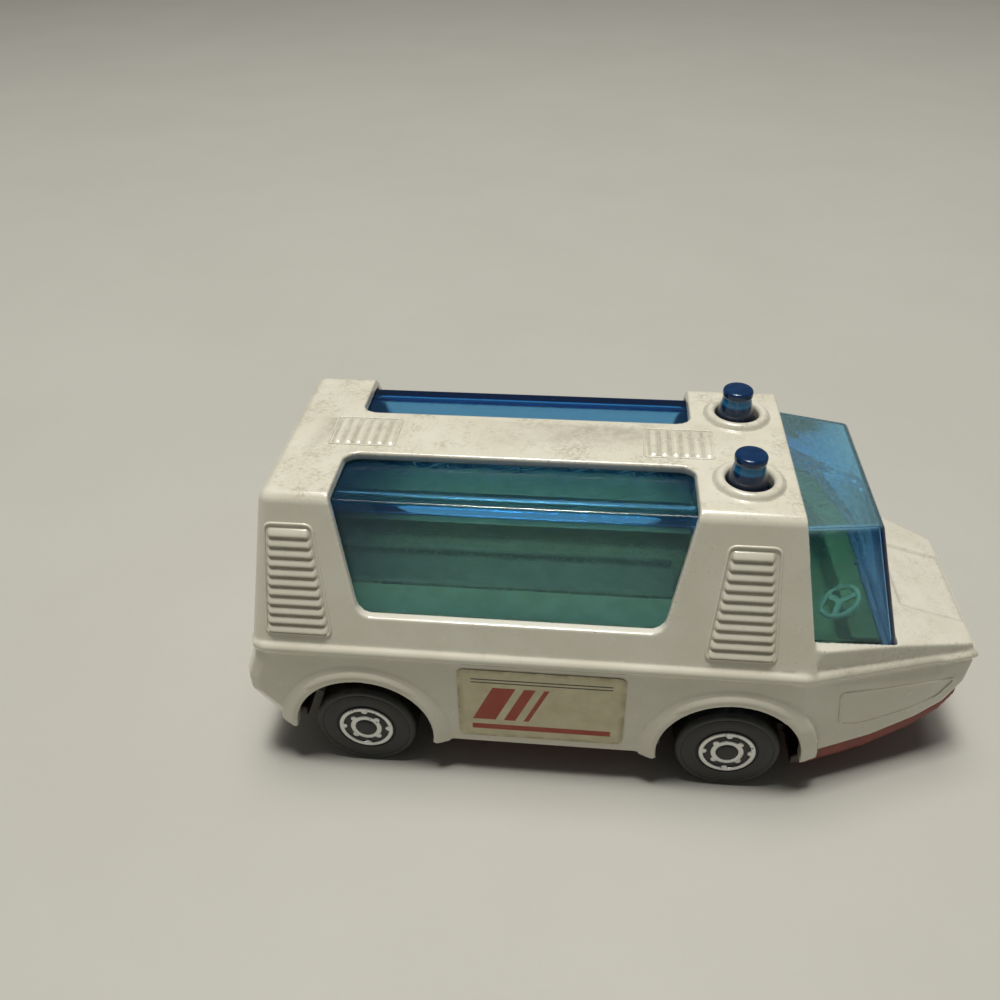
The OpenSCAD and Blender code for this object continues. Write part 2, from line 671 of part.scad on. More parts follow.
module body_casting() {
    color(enamel) difference() {
        union() {
            difference() {
                union() {
                    cabin_form();
                    belt_form();
                    lower_form();
                    cowl_form();
                    flares();
                }
                cabin_core(wall, tail_x, nose_x, cabin_low);
                lower_space();
                canopy_form(glass_gap, canopy_foot - glass_gap);
                cab_well();
                on_rear() along(-past, 2 * wall) gate_outline(gate_gap, gate_top + knuckle_d / 2 + gate_gap);
            }
            louvres();
            posts();
            for (s = [-1, 1]) {
                at_beacon(s) collar();
                on_rear() translate([ear_skin + ear_deep / 2, s * (ear_y + ear_w / 2), gate_top])
                    cube([ear_deep, ear_w, 2 * ear_half], center = true);
            }
        }
        for (s = [0, 1]) mirror([0, s, 0]) window_cut();
        for (s = [-1, 1]) at_beacon(s) translate([0, 0, -roof_h / 2]) cylinder(d = beacon_hole_d, h = roof_h);
        for (x = [rear_axle_x, front_axle_x], s = [0, 1]) mirror([0, s, 0])
            translate([x, belt_w, axle_z]) rotate([90, 0, 0]) cylinder(r = arch_r, h = belt_w / 2 + wheel_t);
        hinge_line(-pin_half, pin_half) circle(d = pin_d + 2 * pin_gap);
        nose_cuts();
    }
}

module tailgate() {
    handle_out = 0.35;
    handle_w = 7;
    handle_h = 0.9;
    handle_up = 1.8;
    color(enamel) difference() {
        union() {
            on_rear() along(0, gate_t) gate_outline(0, gate_top);
            hinge_line(-gate_hinge_y, gate_hinge_y) circle(d = knuckle_d);
            on_rear() translate([-handle_out, -handle_w / 2, gate_low + handle_up])
                cube([handle_out + gate_t / 2, handle_w, handle_h]);
        }
        hinge_line(-belt_w, belt_w) circle(d = pin_d + 2 * pin_gap);
    }
}

module tailgate_pin() {
    color(steel) hinge_line(-pin_half, pin_half) circle(d = pin_d);
}

module cab_glazing() {
    color(blue) difference() {
        canopy_form(0, canopy_foot);
        canopy_form(-glass_t, canopy_foot - past, 0.1);
    }
}

// Arch behind both windows, run on past the openings on every side
bay_lap = 1.2;
module bay_glazing() {
    x0 = window_rear(roof_h) - bay_lap;
    x1 = window_front(roof_h) + bay_lap;
    low = window_sill - bay_lap;
    color(blue) difference() {
        cabin_core(glass_in, x0, x1, low);
        cabin_core(glass_in + glass_t, x0 - past, x1 + past, low - past);
    }
}

// A beacon lens with a flange under the roof, set a little back in its hole
beacon_play = 0.15;
module beacon(s) {
    flange_lip = 0.5;
    flange_r = beacon_hole_d / 2 + flange_lip;
    flange_t = 0.6;
    seat = -wall - glass_gap;
    cap_share = 0.72;                  // where the lens steps out to its cap, as a share of its height
    shoulder_z = cap_share * beacon_h;
    dome = 0.25;
    neck = 0.12;
    color(deep_blue) at_beacon(s, beacon_x - beacon_play) rotate_extrude() polygon([
        [0, seat - flange_t], [flange_r, seat - flange_t], [flange_r, seat], [beacon_d / 2, seat],
        [beacon_d / 2, 0], [beacon_top_d / 2 - neck, shoulder_z], [beacon_top_d / 2, shoulder_z + neck],
        [beacon_top_d / 2, beacon_h - 2 * dome], [beacon_top_d / 2 - dome, beacon_h - dome], [0, beacon_h]]);
}

// Interior: floor, two benches, stretcher, seats, dashboard and the ribs that trap the axles
floor_top = floor_z + floor_t;
bench_up = 1.3;
bench_h = belt_h + bench_up;
inner_gap = 0.35;
inner_rear_x = belt_rear_x + wall + plan_r / 2 + inner_gap;
dash_back = 1.2;                       // from the foot of the windscreen back to the dashboard
inner_front_x = screen_foot_x - dash_back;
bay_front_x = window_front(roof_h) + bay_lap + inner_gap;
bench_y = side_y - wall - 3 * inner_gap;
rib_y = 6;
rib_t = 1.6;
rib_half = arch_r - ramp_end;
dash_len = 2.6;
dash_drop = 0.7;                       // from the hood down to the top of the dashboard
dash_h = hood_h - dash_drop;
dash_y = screen_foot_y - glass_t - inner_gap;
module axle_rib(x, y) {
    slot = axle_d + 2 * run_gap;
    foot = base_top(x);
    stations = [x - rib_half, x - ramp_start, x + ramp_start, x + rib_half];
    difference() {
        translate([0, y, 0]) across(rib_t) polygon(concat(
            [for (i = stations) [i, base_top(i)]], [[x + rib_half, floor_z], [x - rib_half, floor_z]]));
        translate([x - slot / 2, y - rib_t, foot - past]) cube([slot, 2 * rib_t, axle_z - foot + past]);
        translate([x, y, axle_z]) rotate([90, 0, 0]) cylinder(d = slot, h = 2 * rib_t, center = true);
    }
}
module seat(y) {
    cushion_w = 7.6;
    cushion_len = 5.2;
    cushion_h = 2.4;
    back_t = 1.3;
    back_h = 8.5;
    back_lean = 1;
    translate([bay_front_x, y - cushion_w / 2, floor_top]) {
        cube([cushion_len, cushion_w, cushion_h]);
        translate([0, cushion_w / 2, 0]) across(cushion_w) polygon([
            [0, 0], [back_t + back_lean, 0], [back_t, back_h], [0, back_h]]);
    }
}
module interior_moulding() {
    stretcher_w = 6.4;
    stretcher_h = 2;
    rail = 0.8;
    seat_y = 4.6;
    stretcher_end = 2;                 // floor left at each end of the stretcher
    color(ivory) difference() {
        union() {
            translate([0, 0, floor_z]) linear_extrude(floor_t) polygon(mirrored([
                [inner_rear_x, -bench_y], [taper_x - inner_gap, -bench_y],
                [inner_front_x, -belt_at(inner_front_x, bead + wall + inner_gap)]]));
            for (s = [0, 1]) mirror([0, s, 0]) translate([inner_rear_x, aisle_w / 2, floor_z])
                cube([bay_front_x - inner_rear_x, bench_y - aisle_w / 2, bench_h - floor_z]);
            translate([inner_rear_x + stretcher_end, -stretcher_w / 2, floor_z]) {
                stretcher_len = bay_front_x - inner_rear_x - 2 * stretcher_end;
                cube([stretcher_len, stretcher_w, floor_t + stretcher_h - rail]);
                for (y = [0, stretcher_w - rail]) translate([0, y, 0])
                    cube([stretcher_len, rail, floor_t + stretcher_h]);
            }
            for (y = [-seat_y, seat_y]) seat(y);
            translate([inner_front_x - dash_len, -dash_y, floor_z]) cube([dash_len, 2 * dash_y, dash_h - floor_z]);
            for (x = [rear_axle_x, front_axle_x], y = [-rib_y, rib_y]) axle_rib(x, y);
        }
        at_steering() cylinder(d = column_d + 2 * pin_gap, h = 2 * column_len, center = true);
    }
}

// Steering wheel on a raked column that plugs into the top of the dashboard
steer_y = -6.4;
steer_rake = 35;
column_d = 0.8;
column_len = 3.4;
rim_d = 0.5;
column_in = 0.7;                       // from the dashboard's rear edge to the column
column_sink = 0.6;                     // from the dashboard's top down to the column's middle
module at_steering() {
    translate([inner_front_x - dash_len + column_in, steer_y, dash_h - column_sink])
        rotate([0, -steer_rake, 0]) children();
}
module steering_wheel() {
    spokes = 3;
    color(ivory) at_steering() {
        translate([0, 0, -column_len / 4]) cylinder(d = column_d, h = column_len);
        translate([0, 0, 3 * column_len / 4 - rim_d / 2]) {
            rotate_extrude() translate([(steer_d - rim_d) / 2, rim_d / 2]) circle(d = rim_d);
            for (i = [0:spokes - 1]) rotate([0, 0, 360 * i / spokes])
                translate([0, -rim_d / 2, rim_d / 4]) cube([(steer_d - rim_d) / 2, rim_d, rim_d / 2]);
        }
    }
}

// Base plate under the lower edge, with notches for the wheels and seats for the axles
notch_gap = 0.6;
pad_mid_x = (rear_axle_x + front_axle_x) / 2;
module base_plate() {
    x1 = nose_x - low_r - base_inset;
    last = len(base_line) - 1;
    stations = [for (i = [0:last]) min(base_line[i][0], x1)];
    notch_y = track_w / 2 - wheel_t - notch_gap;
    notch_r = arch_r - notch_gap;
    sill_in = wall + base_seam + low_r / 2;
    color(dark_red) difference() {
        union() {
            intersection() {
                across(2 * belt_w) polygon(concat(
                    [for (x = stations) [x, base_top(x)]],
                    [for (i = [last:-1:0]) [stations[i], base_top(stations[i]) - base_t]]));
                linear_extrude(belt_h) polygon(mirrored([
                    [base_rear_x, -side_y + sill_in], [front_axle_x, -side_y + sill_in],
                    [front_axle_x, -side_y + base_inset],
                    [taper_x, -belt_at(taper_x, bead + base_inset)], [x1, -belt_at(x1, bead + base_inset)]]));
            }
            for (x = [rear_post_x, front_post_x]) translate([x, 0, seat_z(x)])
                cylinder(r = boss_r, h = base_top(x) - seat_z(x) - base_t / 2);
            translate([pad_mid_x - pad_len / 2, -pad_w / 2, base_top(pad_mid_x) - base_t - pad_t])
                cube([pad_len, pad_w, pad_t + base_t / 2]);
            for (x = [rear_axle_x, front_axle_x], y = [-rib_y, rib_y])
                translate([x - axle_d / 2, y - rib_t / 2, base_top(x) - base_t / 2])
                    cube([axle_d, rib_t, axle_z - axle_d / 2 - pin_gap - base_top(x) + base_t / 2]);
        }
        for (x = [rear_axle_x, front_axle_x], s = [0, 1]) mirror([0, s, 0])
            translate([x - notch_r, notch_y, 0]) cube([2 * notch_r, belt_w, belt_h]);
        for (x = [rear_post_x, front_post_x]) translate([x, 0, 0]) cylinder(r = shank_r + shank_gap, h = belt_h);
    }
}

module rivets() {
    color(steel) for (x = [rear_post_x, front_post_x]) translate([x, 0, seat_z(x)]) {
        translate([0, 0, -head_t]) cylinder(d = rivet_d, h = head_t);
        cylinder(r = shank_r, h = base_top(x) - seat_z(x) + shank_len - shank_gap);
    }
}

// Axles with headed ends that sit in pockets inside the wheels
head_lip = 0.2;
head_d = axle_d + 2 * head_lip;
head_l = 0.5;
hub_cap_t = 0.7;                       // plastic left outside the axle's end
axle_half = track_w / 2 - hub_cap_t - run_gap;
module axle(x) {
    color(steel) translate([x, 0, axle_z]) rotate([90, 0, 0]) {
        cylinder(d = axle_d, h = 2 * axle_half, center = true);
        for (s = [0, 1]) mirror([0, 0, s]) translate([0, 0, axle_half - head_l]) cylinder(d = head_d, h = head_l);
    }
}

// Wheel: closed outer face with a dome, a groove round the hub and a blind bore from inside
module wheel_form() {
    tread = axle_z;
    corner = 0.5;
    groove_w = 0.2;
    groove_d = 0.15;
    foil_edge = 0.1;
    groove_r = foil_d / 2 + foil_edge;
    dome_r = foil_inner_d / 2 - foil_w - foil_edge;
    dome_h = 0.2;
    bore = axle_d / 2 + run_gap;
    pocket = head_d / 2 + run_gap;
    deep = wheel_t - hub_cap_t;
    rotate_extrude() polygon([
        [bore, 0], [tread - corner, 0], [tread - 0.3 * corner, 0.3 * corner], [tread, corner],
        [tread, wheel_t - corner], [tread - 0.3 * corner, wheel_t - 0.3 * corner], [tread - corner, wheel_t],
        [groove_r + groove_w, wheel_t], [groove_r + groove_w / 2, wheel_t - groove_d], [groove_r, wheel_t],
        [dome_r, wheel_t], [0.7 * dome_r, wheel_t + 0.7 * dome_h], [0, wheel_t + dome_h],
        [0, deep], [pocket, deep], [pocket, deep - head_l - 2 * run_gap], [bore, deep - head_l - 2 * run_gap]]);
}
// Places a form so that its outer face, at height wheel_t, points out to side s
module at_wheel(x, s) {
    translate([x, s * (track_w / 2 - wheel_t), axle_z]) rotate([-90 * s, 0, 0]) children();
}
module wheel(x, s) {
    color(tyre_black) at_wheel(x, s) wheel_form();
}

// Foil: two rings, the outer with tabs inward and the inner with tabs outward, set between them
module hub_foil(x, s) {
    inner_r = foil_d / 2 - foil_w;
    ring_r = foil_inner_d / 2;
    half_turn = 180 / foil_tabs;
    color(silver) at_wheel(x, s) translate([0, 0, wheel_t]) linear_extrude(foil_t) {
        difference() {
            union() {
                difference() {
                    circle(foil_d / 2);
                    circle(inner_r);
                }
                for (i = [0:foil_tabs - 1]) rotate(2 * half_turn * i) translate([inner_r, 0]) circle(foil_tab_r);
            }
            difference() {
                circle(foil_d);
                circle(foil_d / 2);
            }
        }
        difference() {
            union() {
                circle(ring_r);
                for (i = [0:foil_tabs - 1]) rotate(2 * half_turn * i + half_turn)
                    translate([ring_r, 0]) circle(foil_tab_r);
            }
            circle(ring_r - foil_w);
        }
    }
}

// Labels on the lower sides, between the arches
label_back = 0.3;                      // how far a label sits behind the middle of the wheelbase
label_len = front_axle_x - rear_axle_x - 2 * (arch_r + flare_w + label_end);
label_h = belt_h - 2 * belt_r - label_high - sill_h - label_low;
label_x = pad_mid_x - label_back;
label_z = sill_h + label_low + label_h / 2;
label_r = 0.7;
module label(s) {
    w = label_len / 2;
    h = label_h / 2;
    color(cream) translate([label_x, s * side_y, label_z]) rotate([-90 * s, 0, 0])
        linear_extrude(label_t) polygon(rounded([[-w, -h], [w, -h], [w, h], [-w, h]], label_r));
}

body_casting();
base_plate();
cab_glazing();
bay_glazing();
beacon(-1);  // beacon_right
beacon(1);  // beacon_left
interior_moulding();
steering_wheel();
tailgate();
tailgate_pin();
axle(front_axle_x);  // front_axle
axle(rear_axle_x);  // rear_axle
wheel(front_axle_x, -1);  // wheel_front_right
wheel(front_axle_x, 1);  // wheel_front_left
wheel(rear_axle_x, -1);  // wheel_rear_right
wheel(rear_axle_x, 1);  // wheel_rear_left
hub_foil(front_axle_x, -1);  // hub_foil_front_right
hub_foil(front_axle_x, 1);  // hub_foil_front_left
hub_foil(rear_axle_x, -1);  // hub_foil_rear_right
hub_foil(rear_axle_x, 1);  // hub_foil_rear_left
rivets();
label(-1);  // label_right
label(1);  // label_left
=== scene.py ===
# %% [markdown]
# # A worn die-cast toy ambulance
# The toy is a thick white casting with clear blue windows that wrap over the roof, two beacons, black
# wheels with silver foil on the hubs, and a red base. The exact solids come in as a frame, and this
# script dresses them. Cast and moulded pieces get soft edges, and the finishes get their wear.

import math

import bmesh
import bpy
import numpy as np
from mathutils import Matrix, Vector
from mathutils.bvhtree import BVHTree


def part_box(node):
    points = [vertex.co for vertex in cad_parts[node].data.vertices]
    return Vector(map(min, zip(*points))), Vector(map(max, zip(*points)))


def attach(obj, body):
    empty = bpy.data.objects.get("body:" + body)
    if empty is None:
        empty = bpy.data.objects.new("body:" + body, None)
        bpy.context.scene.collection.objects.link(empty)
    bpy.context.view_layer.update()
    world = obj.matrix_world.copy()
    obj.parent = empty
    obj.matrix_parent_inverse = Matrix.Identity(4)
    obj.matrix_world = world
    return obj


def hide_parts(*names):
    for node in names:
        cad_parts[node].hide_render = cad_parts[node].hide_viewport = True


MM = 0.001
# Shared measures in millimetres: X runs to the nose, Y to the left and Z up
HANDS = ((-1, "right"), (1, "left"))
AXLES = {"front": 11.8, "rear": -23.5}
WHEEL_R = 5.05
ROOF_Z = 30.3
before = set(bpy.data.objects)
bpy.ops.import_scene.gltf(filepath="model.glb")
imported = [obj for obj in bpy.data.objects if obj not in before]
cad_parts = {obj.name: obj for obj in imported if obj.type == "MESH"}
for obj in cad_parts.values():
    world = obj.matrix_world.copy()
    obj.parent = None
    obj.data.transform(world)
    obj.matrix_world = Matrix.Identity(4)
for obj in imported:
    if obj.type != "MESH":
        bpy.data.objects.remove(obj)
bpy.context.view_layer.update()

# %% [markdown]
# ## Small tools for meshes
# Every finished piece sits at the origin with its place in its mesh, so most pieces are made from
# points in millimetres. A modifier could stay live on an object, but a baked mesh is easier to
# measure, so one helper bakes what a modifier or a node tree makes.

# %% Mesh helpers
scene = bpy.context.scene
CREASE = 50


def dress(mesh, finish):
    """Give a mesh one finish and no other."""
    mesh.materials.clear()
    mesh.materials.append(finish)


def link(name, mesh, finish=None):
    """Put a mesh in the scene as one object."""
    made = bpy.data.objects.new(name, mesh)
    scene.collection.objects.link(made)
    if finish is not None:
        dress(mesh, finish)
    return made


def smooth(mesh, angle=None):
    """Shade smooth all over, or smooth up to an angle in degrees."""
    mesh.polygons.foreach_set("use_smooth", [True] * len(mesh.polygons))
    if angle is not None:
        mesh.set_sharp_from_angle(angle=math.radians(angle))
    mesh.update()


def join_doubles(mesh, reach, turn_out=False):
    """Merge points within a reach in metres, and turn the faces outwards if asked."""
    work = bmesh.new()
    work.from_mesh(mesh)
    bmesh.ops.remove_doubles(work, verts=work.verts, dist=reach)
    if turn_out:
        bmesh.ops.recalc_face_normals(work, faces=work.faces)
    work.to_mesh(mesh)
    work.free()


def from_points(name, points, faces, finish=None, turn_out=True):
    """A mesh from points in millimetres, with doubles merged and its faces pointing outwards."""
    mesh = bpy.data.meshes.new(name)
    mesh.from_pydata([Vector(p) * MM for p in points], [], faces)
    join_doubles(mesh, 1e-7, turn_out)
    return link(name, mesh, finish)


def merged_copy(node, name):
    """A copy of a frame node whose loose triangles are joined again."""
    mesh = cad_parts[node].data.copy()
    mesh.name = name
    join_doubles(mesh, 2e-6)
    return link(name, mesh)


def bake(piece):
    """Turn the evaluated object into its plain mesh and drop the modifiers."""
    seen = piece.evaluated_get(bpy.context.evaluated_depsgraph_get())
    mesh = bpy.data.meshes.new_from_object(seen)
    piece.modifiers.clear()
    piece.data = mesh
    return piece


def seat(piece, body, slot, *nodes):
    """Let a piece ride on a body and stand for frame nodes, which it hides. The slot is not used."""
    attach(piece, body)
    if nodes:
        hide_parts(*nodes)
    count = sum(len(face.vertices) - 2 for face in piece.data.polygons)
    print(piece.name, "rides on", body, "with", count, "triangles")


print("helpers ready")

# %% Points, rings and corners
def points_of(mesh):
    """The places of a mesh's points, in metres, and their normals, as rows of three."""
    places = np.empty(len(mesh.vertices) * 3)
    mesh.vertices.foreach_get("co", places)
    normals = np.empty(len(mesh.vertices) * 3)
    mesh.vertex_normals.foreach_get("vector", normals)
    return places.reshape(-1, 3), normals.reshape(-1, 3)


def move_points(mesh, spots):
    """Put a mesh's points at spots in millimetres."""
    mesh.vertices.foreach_set("co", (spots * MM).ravel())
    mesh.update()


def ramp(values, start, length):
    """0 up to a start, 1 from a length beyond it, and straight between."""
    return np.clip((values - start) / length, 0, 1)


def ring_faces(rings, count, closed=False):
    """Faces between rings of points that follow each other, and back to the first one if closed."""
    faces = []
    for i in range(rings if closed else rings - 1):
        a, b = i * count, (i + 1) % rings * count
        for k in range(count):
            j = (k + 1) % count
            faces.append((a + k, a + j, b + j, b + k))
    return faces


def end_caps(rings, count):
    """The first and the last ring as faces."""
    return [tuple(range(count)), tuple(range((rings - 1) * count, rings * count))]


def soft_corner(before, corner, after, reach, steps):
    """Points of a corner that is rounded over a reach on both sides."""
    corner = Vector(corner)
    one = corner + (Vector(before) - corner).normalized() * reach
    other = corner + (Vector(after) - corner).normalized() * reach
    return [one * (1 - t) ** 2 + corner * 2 * t * (1 - t) + other * t * t
            for t in (k / steps for k in range(steps + 1))]


print("tools for points ready")

# %% [markdown]
# ## Camera and light
# The camera was worked out from the wheels, belt and roof edges, and stands a little above the toy's
# right side. A big soft light hangs overhead, so that the roof is bright and the sides are in half
# shade. A small lamp beside it gives the thin highlights on the beads and lips.

# %% Camera
side = Vector((0.99466108, 0.10186761, -0.01650217))
rise = Vector((-0.04639849, 0.58429778, 0.81021188))
look = Vector((-0.09217653, 0.80512054, -0.58590477))
spot = Vector((-2.6, -76.63, 78.56)) * MM
eye_data = bpy.data.cameras.new("eye")
eye_data.sensor_width = 36.0
eye_data.lens = 34.21
eye_data.clip_start = 0.005
eye_data.clip_end = 20.0
eye = bpy.data.objects.new("eye", eye_data)
eye.matrix_world = Matrix.Translation(spot) @ Matrix((side, rise, -look)).transposed().to_4x4()
scene.collection.objects.link(eye)
scene.camera = eye
print("camera at", [round(v, 4) for v in spot])

# %% Light
scene.view_settings.view_transform = "Standard"
LIGHT_TINT = (1.0, 0.985, 0.95)
LIGHT_AIM = Vector((0, 0, 0.01))


def soft_light(name, place, size, power):
    """A square soft box that points at the toy."""
    data = bpy.data.lights.new(name, "AREA")
    data.shape = "SQUARE"
    data.size = size
    data.energy = power
    data.color = LIGHT_TINT
    made = bpy.data.objects.new(name, data)
    made.location = place
    made.rotation_euler = (LIGHT_AIM - Vector(place)).to_track_quat("-Z", "Y").to_euler()
    scene.collection.objects.link(made)


soft_light("overhead", (-0.03, 0.09, 0.80), 0.38, 3.4)
soft_light("lamp", (-0.05, -0.03, 0.75), 0.14, 3.3)
world = bpy.data.worlds.new("room")
world.use_nodes = True
room = world.node_tree.nodes["Background"]
room.inputs["Color"].default_value = (0.78, 0.80, 0.80, 1)
room.inputs["Strength"].default_value = 0.12
scene.world = world

# %% [markdown]
# ## Finishes
# A finish is a Principled shader with noise for its grain and wear, read in object coordinates so
# that it stays on the piece. Image maps would be the other way, but noise works at any scale and
# needs no files. The small class below keeps each finish down to the few lines that matter.

# %% A short way to write finishes
PLASTIC_IOR = 1.49


def join(tree, value, socket):
    """Link a socket to an input, or set the input to a colour or another value."""
    if isinstance(value, bpy.types.NodeSocket):
        tree.links.new(value, socket)
    else:
        socket.default_value = (*value, 1) if isinstance(value, tuple) else value


def sums(tree, kind, one, other=0.0):
    """Add a math node to a tree and give its result."""
    node = tree.nodes.new("ShaderNodeMath")
    node.operation = kind
    join(tree, one, node.inputs[0])
    join(tree, other, node.inputs[1])
    return node.outputs[0]


class Finish:
    """A Principled material with short ways to add the nodes of its grain and wear."""

    def __init__(self, name, color, rough, metal=0.0):
        self.made = bpy.data.materials.new(name)
        self.made.use_nodes = True
        self.tree = self.made.node_tree
        self.shader = self.tree.nodes["Principled BSDF"]
        self.color(color)
        self.rough(rough)
        self.put("Metallic", metal)
        self.place = self.add("ShaderNodeTexCoord").outputs["Object"]

    def add(self, kind, **settings):
        node = self.tree.nodes.new(kind)
        for key, value in settings.items():
            setattr(node, key, value)
        return node

    def feed(self, value, socket):
        join(self.tree, value, socket)

    def put(self, name, value):
        """Feed one input of the Principled shader."""
        self.feed(value, self.shader.inputs[name])

    def color(self, value):
        self.put("Base Color", value)

    def rough(self, value):
        self.put("Roughness", value)

    def noise(self, size, detail=3.0, rough=0.6, stretch=(1, 1, 1), turn=(0, 0, 0)):
        """Noise with grains of about this size in millimetres, stretched along the axes."""
        mapping = self.add("ShaderNodeMapping", vector_type="TEXTURE")
        mapping.inputs["Scale"].default_value = stretch
        mapping.inputs["Rotation"].default_value = turn
        self.feed(self.place, mapping.inputs["Vector"])
        node = self.add("ShaderNodeTexNoise")
        self.feed(mapping.outputs["Vector"], node.inputs["Vector"])
        node.inputs["Scale"].default_value = 1.0 / (size * MM)
        node.inputs["Detail"].default_value = detail
        node.inputs["Roughness"].default_value = rough
        return node.outputs["Fac"]

    def axis(self, name):
        """One object coordinate, in millimetres."""
        node = self.add("ShaderNodeSeparateXYZ")
        self.feed(self.place, node.inputs["Vector"])
        return self.times(node.outputs[name], 1.0 / MM)

    def attribute(self, name):
        return self.add("ShaderNodeAttribute", attribute_name=name).outputs["Fac"]

    def math(self, kind, one, other=0.0):
        return sums(self.tree, kind, one, other)

    def times(self, one, other):
        return self.math("MULTIPLY", one, other)

    def plus(self, one, other):
        return self.math("ADD", one, other)

    def less(self, one, other):
        return self.math("SUBTRACT", one, other)

    def larger(self, one, other):
        return self.math("MAXIMUM", one, other)

    def rise(self, value, low, high, start=0.0, end=1.0):
        """A soft step from start to end while the value goes from low to high."""
        node = self.add("ShaderNodeMapRange", interpolation_type="SMOOTHSTEP")
        self.feed(value, node.inputs["Value"])
        for name, number in (("From Min", low), ("From Max", high), ("To Min", start), ("To Max", end)):
            node.inputs[name].default_value = number
        return node.outputs["Result"]

    def band(self, value, low, high, soft):
        """1 between low and high, 0 outside."""
        return self.times(self.rise(value, low - soft, low + soft),
                          self.rise(value, high - soft, high + soft, 1.0, 0.0))

    def mix(self, share, one, other):
        """Colour one where the share is 0, the other where it is 1."""
        node = self.add("ShaderNodeMix", data_type="RGBA")
        self.feed(share, node.inputs["Factor"])
        # A Mix node's two colours are its inputs 6 and 7, and its colour result is output 2
        self.feed(one, node.inputs[6])
        self.feed(other, node.inputs[7])
        return node.outputs[2]

    def bump(self, height, depth, strength=0.5):
        """Bump of this depth in millimetres."""
        node = self.add("ShaderNodeBump")
        node.inputs["Strength"].default_value = strength
        node.inputs["Distance"].default_value = depth * MM
        self.feed(height, node.inputs["Height"])
        self.put("Normal", node.outputs["Normal"])


print("finish tools ready")

# %% [markdown]
# ### White enamel
# Thick gloss paint over the casting, gone a little yellow, with fine grime in the hollows, specks all
# over and small chips on the edges. The body mesh carries a number named relief, which is above zero
# on edges and below zero in hollows. Pieces without it read zero and get the specks alone.

# %% Enamel
def axle_squares(finish):
    """The square of the distance from each axle in the side view, in square millimetres."""
    height = finish.less(finish.axis("Z"), WHEEL_R)
    squares = []
    for x in AXLES.values():
        along = finish.less(finish.axis("X"), x)
        squares.append(finish.plus(finish.times(along, along), finish.times(height, height)))
    return squares


def wheel_rings(finish, full, none):
    """A share that is 1 within one distance of either axle, in millimetres, and 0 beyond another."""
    front, rear = (finish.rise(square, none * none, full * full) for square in axle_squares(finish))
    return finish.larger(front, rear)


def enamel_finish():
    paint = Finish("white_enamel", (0.82, 0.79, 0.68), 0.32)
    relief = paint.attribute("relief")
    tone = paint.rise(paint.noise(5.0, 4), 0.3, 0.7)
    base = paint.mix(tone, (0.645, 0.61, 0.49), (0.695, 0.665, 0.55))
    # Grime gathers in hollows
    hollow = paint.rise(relief, -0.10, -0.55)
    film = paint.times(hollow, paint.rise(paint.noise(0.9, 4), 0.25, 0.75, 0.35, 1.0))
    base = paint.mix(paint.times(film, 0.55), base, (0.20, 0.175, 0.125))
    # Fine specks in loose patches
    patch = paint.rise(paint.noise(4.0, 3), 0.42, 0.66, 0.25, 1.0)
    speck = paint.times(paint.rise(paint.noise(0.24, 2, 0.5), 0.66, 0.74), patch)
    base = paint.mix(paint.times(speck, 0.5), base, (0.25, 0.21, 0.15))
    # More of it lies on the roof and the hood
    roof = paint.rise(paint.axis("Z"), 29.4, 30.0)
    hood = paint.times(paint.rise(paint.axis("X"), 19.5, 21.0, 0.0, 0.75),
                       paint.rise(paint.axis("Z"), 13.0, 13.8))
    smear = paint.times(paint.rise(paint.noise(2.6, 5, 0.7), 0.40, 0.72),
                        paint.rise(paint.noise(0.32, 3, 0.6), 0.38, 0.66))
    smear = paint.times(smear, paint.larger(roof, hood))
    base = paint.mix(paint.times(smear, 0.65), base, (0.34, 0.29, 0.20))
    # Chips on edges show dark metal
    edge = paint.rise(relief, 0.20, 0.50)
    chip = paint.times(edge, paint.rise(paint.noise(0.55, 3), 0.64, 0.70))
    base = paint.mix(paint.times(chip, 0.6), base, (0.20, 0.18, 0.14))
    # Near-black painted shade inside the arches, where the deep shadow round the wheels falls
    inside = paint.rise(paint.math("ABSOLUTE", paint.axis("Y")), 14.1, 13.7)
    inside = paint.times(inside, wheel_rings(paint, 8.0, 8.6))
    base = paint.mix(paint.times(inside, 0.95), base, (0.010, 0.009, 0.008))
    paint.color(base)
    dull = paint.times(paint.noise(1.6, 4), 0.20)
    paint.rough(paint.plus(paint.plus(dull, 0.14), paint.times(film, 0.3)))
    paint.bump(paint.noise(0.5, 3), 0.02, 0.35)
    paint.put("Coat Weight", 0.8)
    paint.put("Coat Roughness", 0.06)
    return paint.made


enamel = enamel_finish()
print("finish:", enamel.name)

# %% [markdown]
# ### Clear blue plastic
# The windows are one tint all through, so thicker or slanting plastic looks darker. That comes from
# absorption inside the solid, and a thin blue veil on the surface keeps the cut edges navy. Fine
# scratches and some dust lie on it, and the roof of the cab is scuffed to a milky blue, because it
# lay bare in many hands.

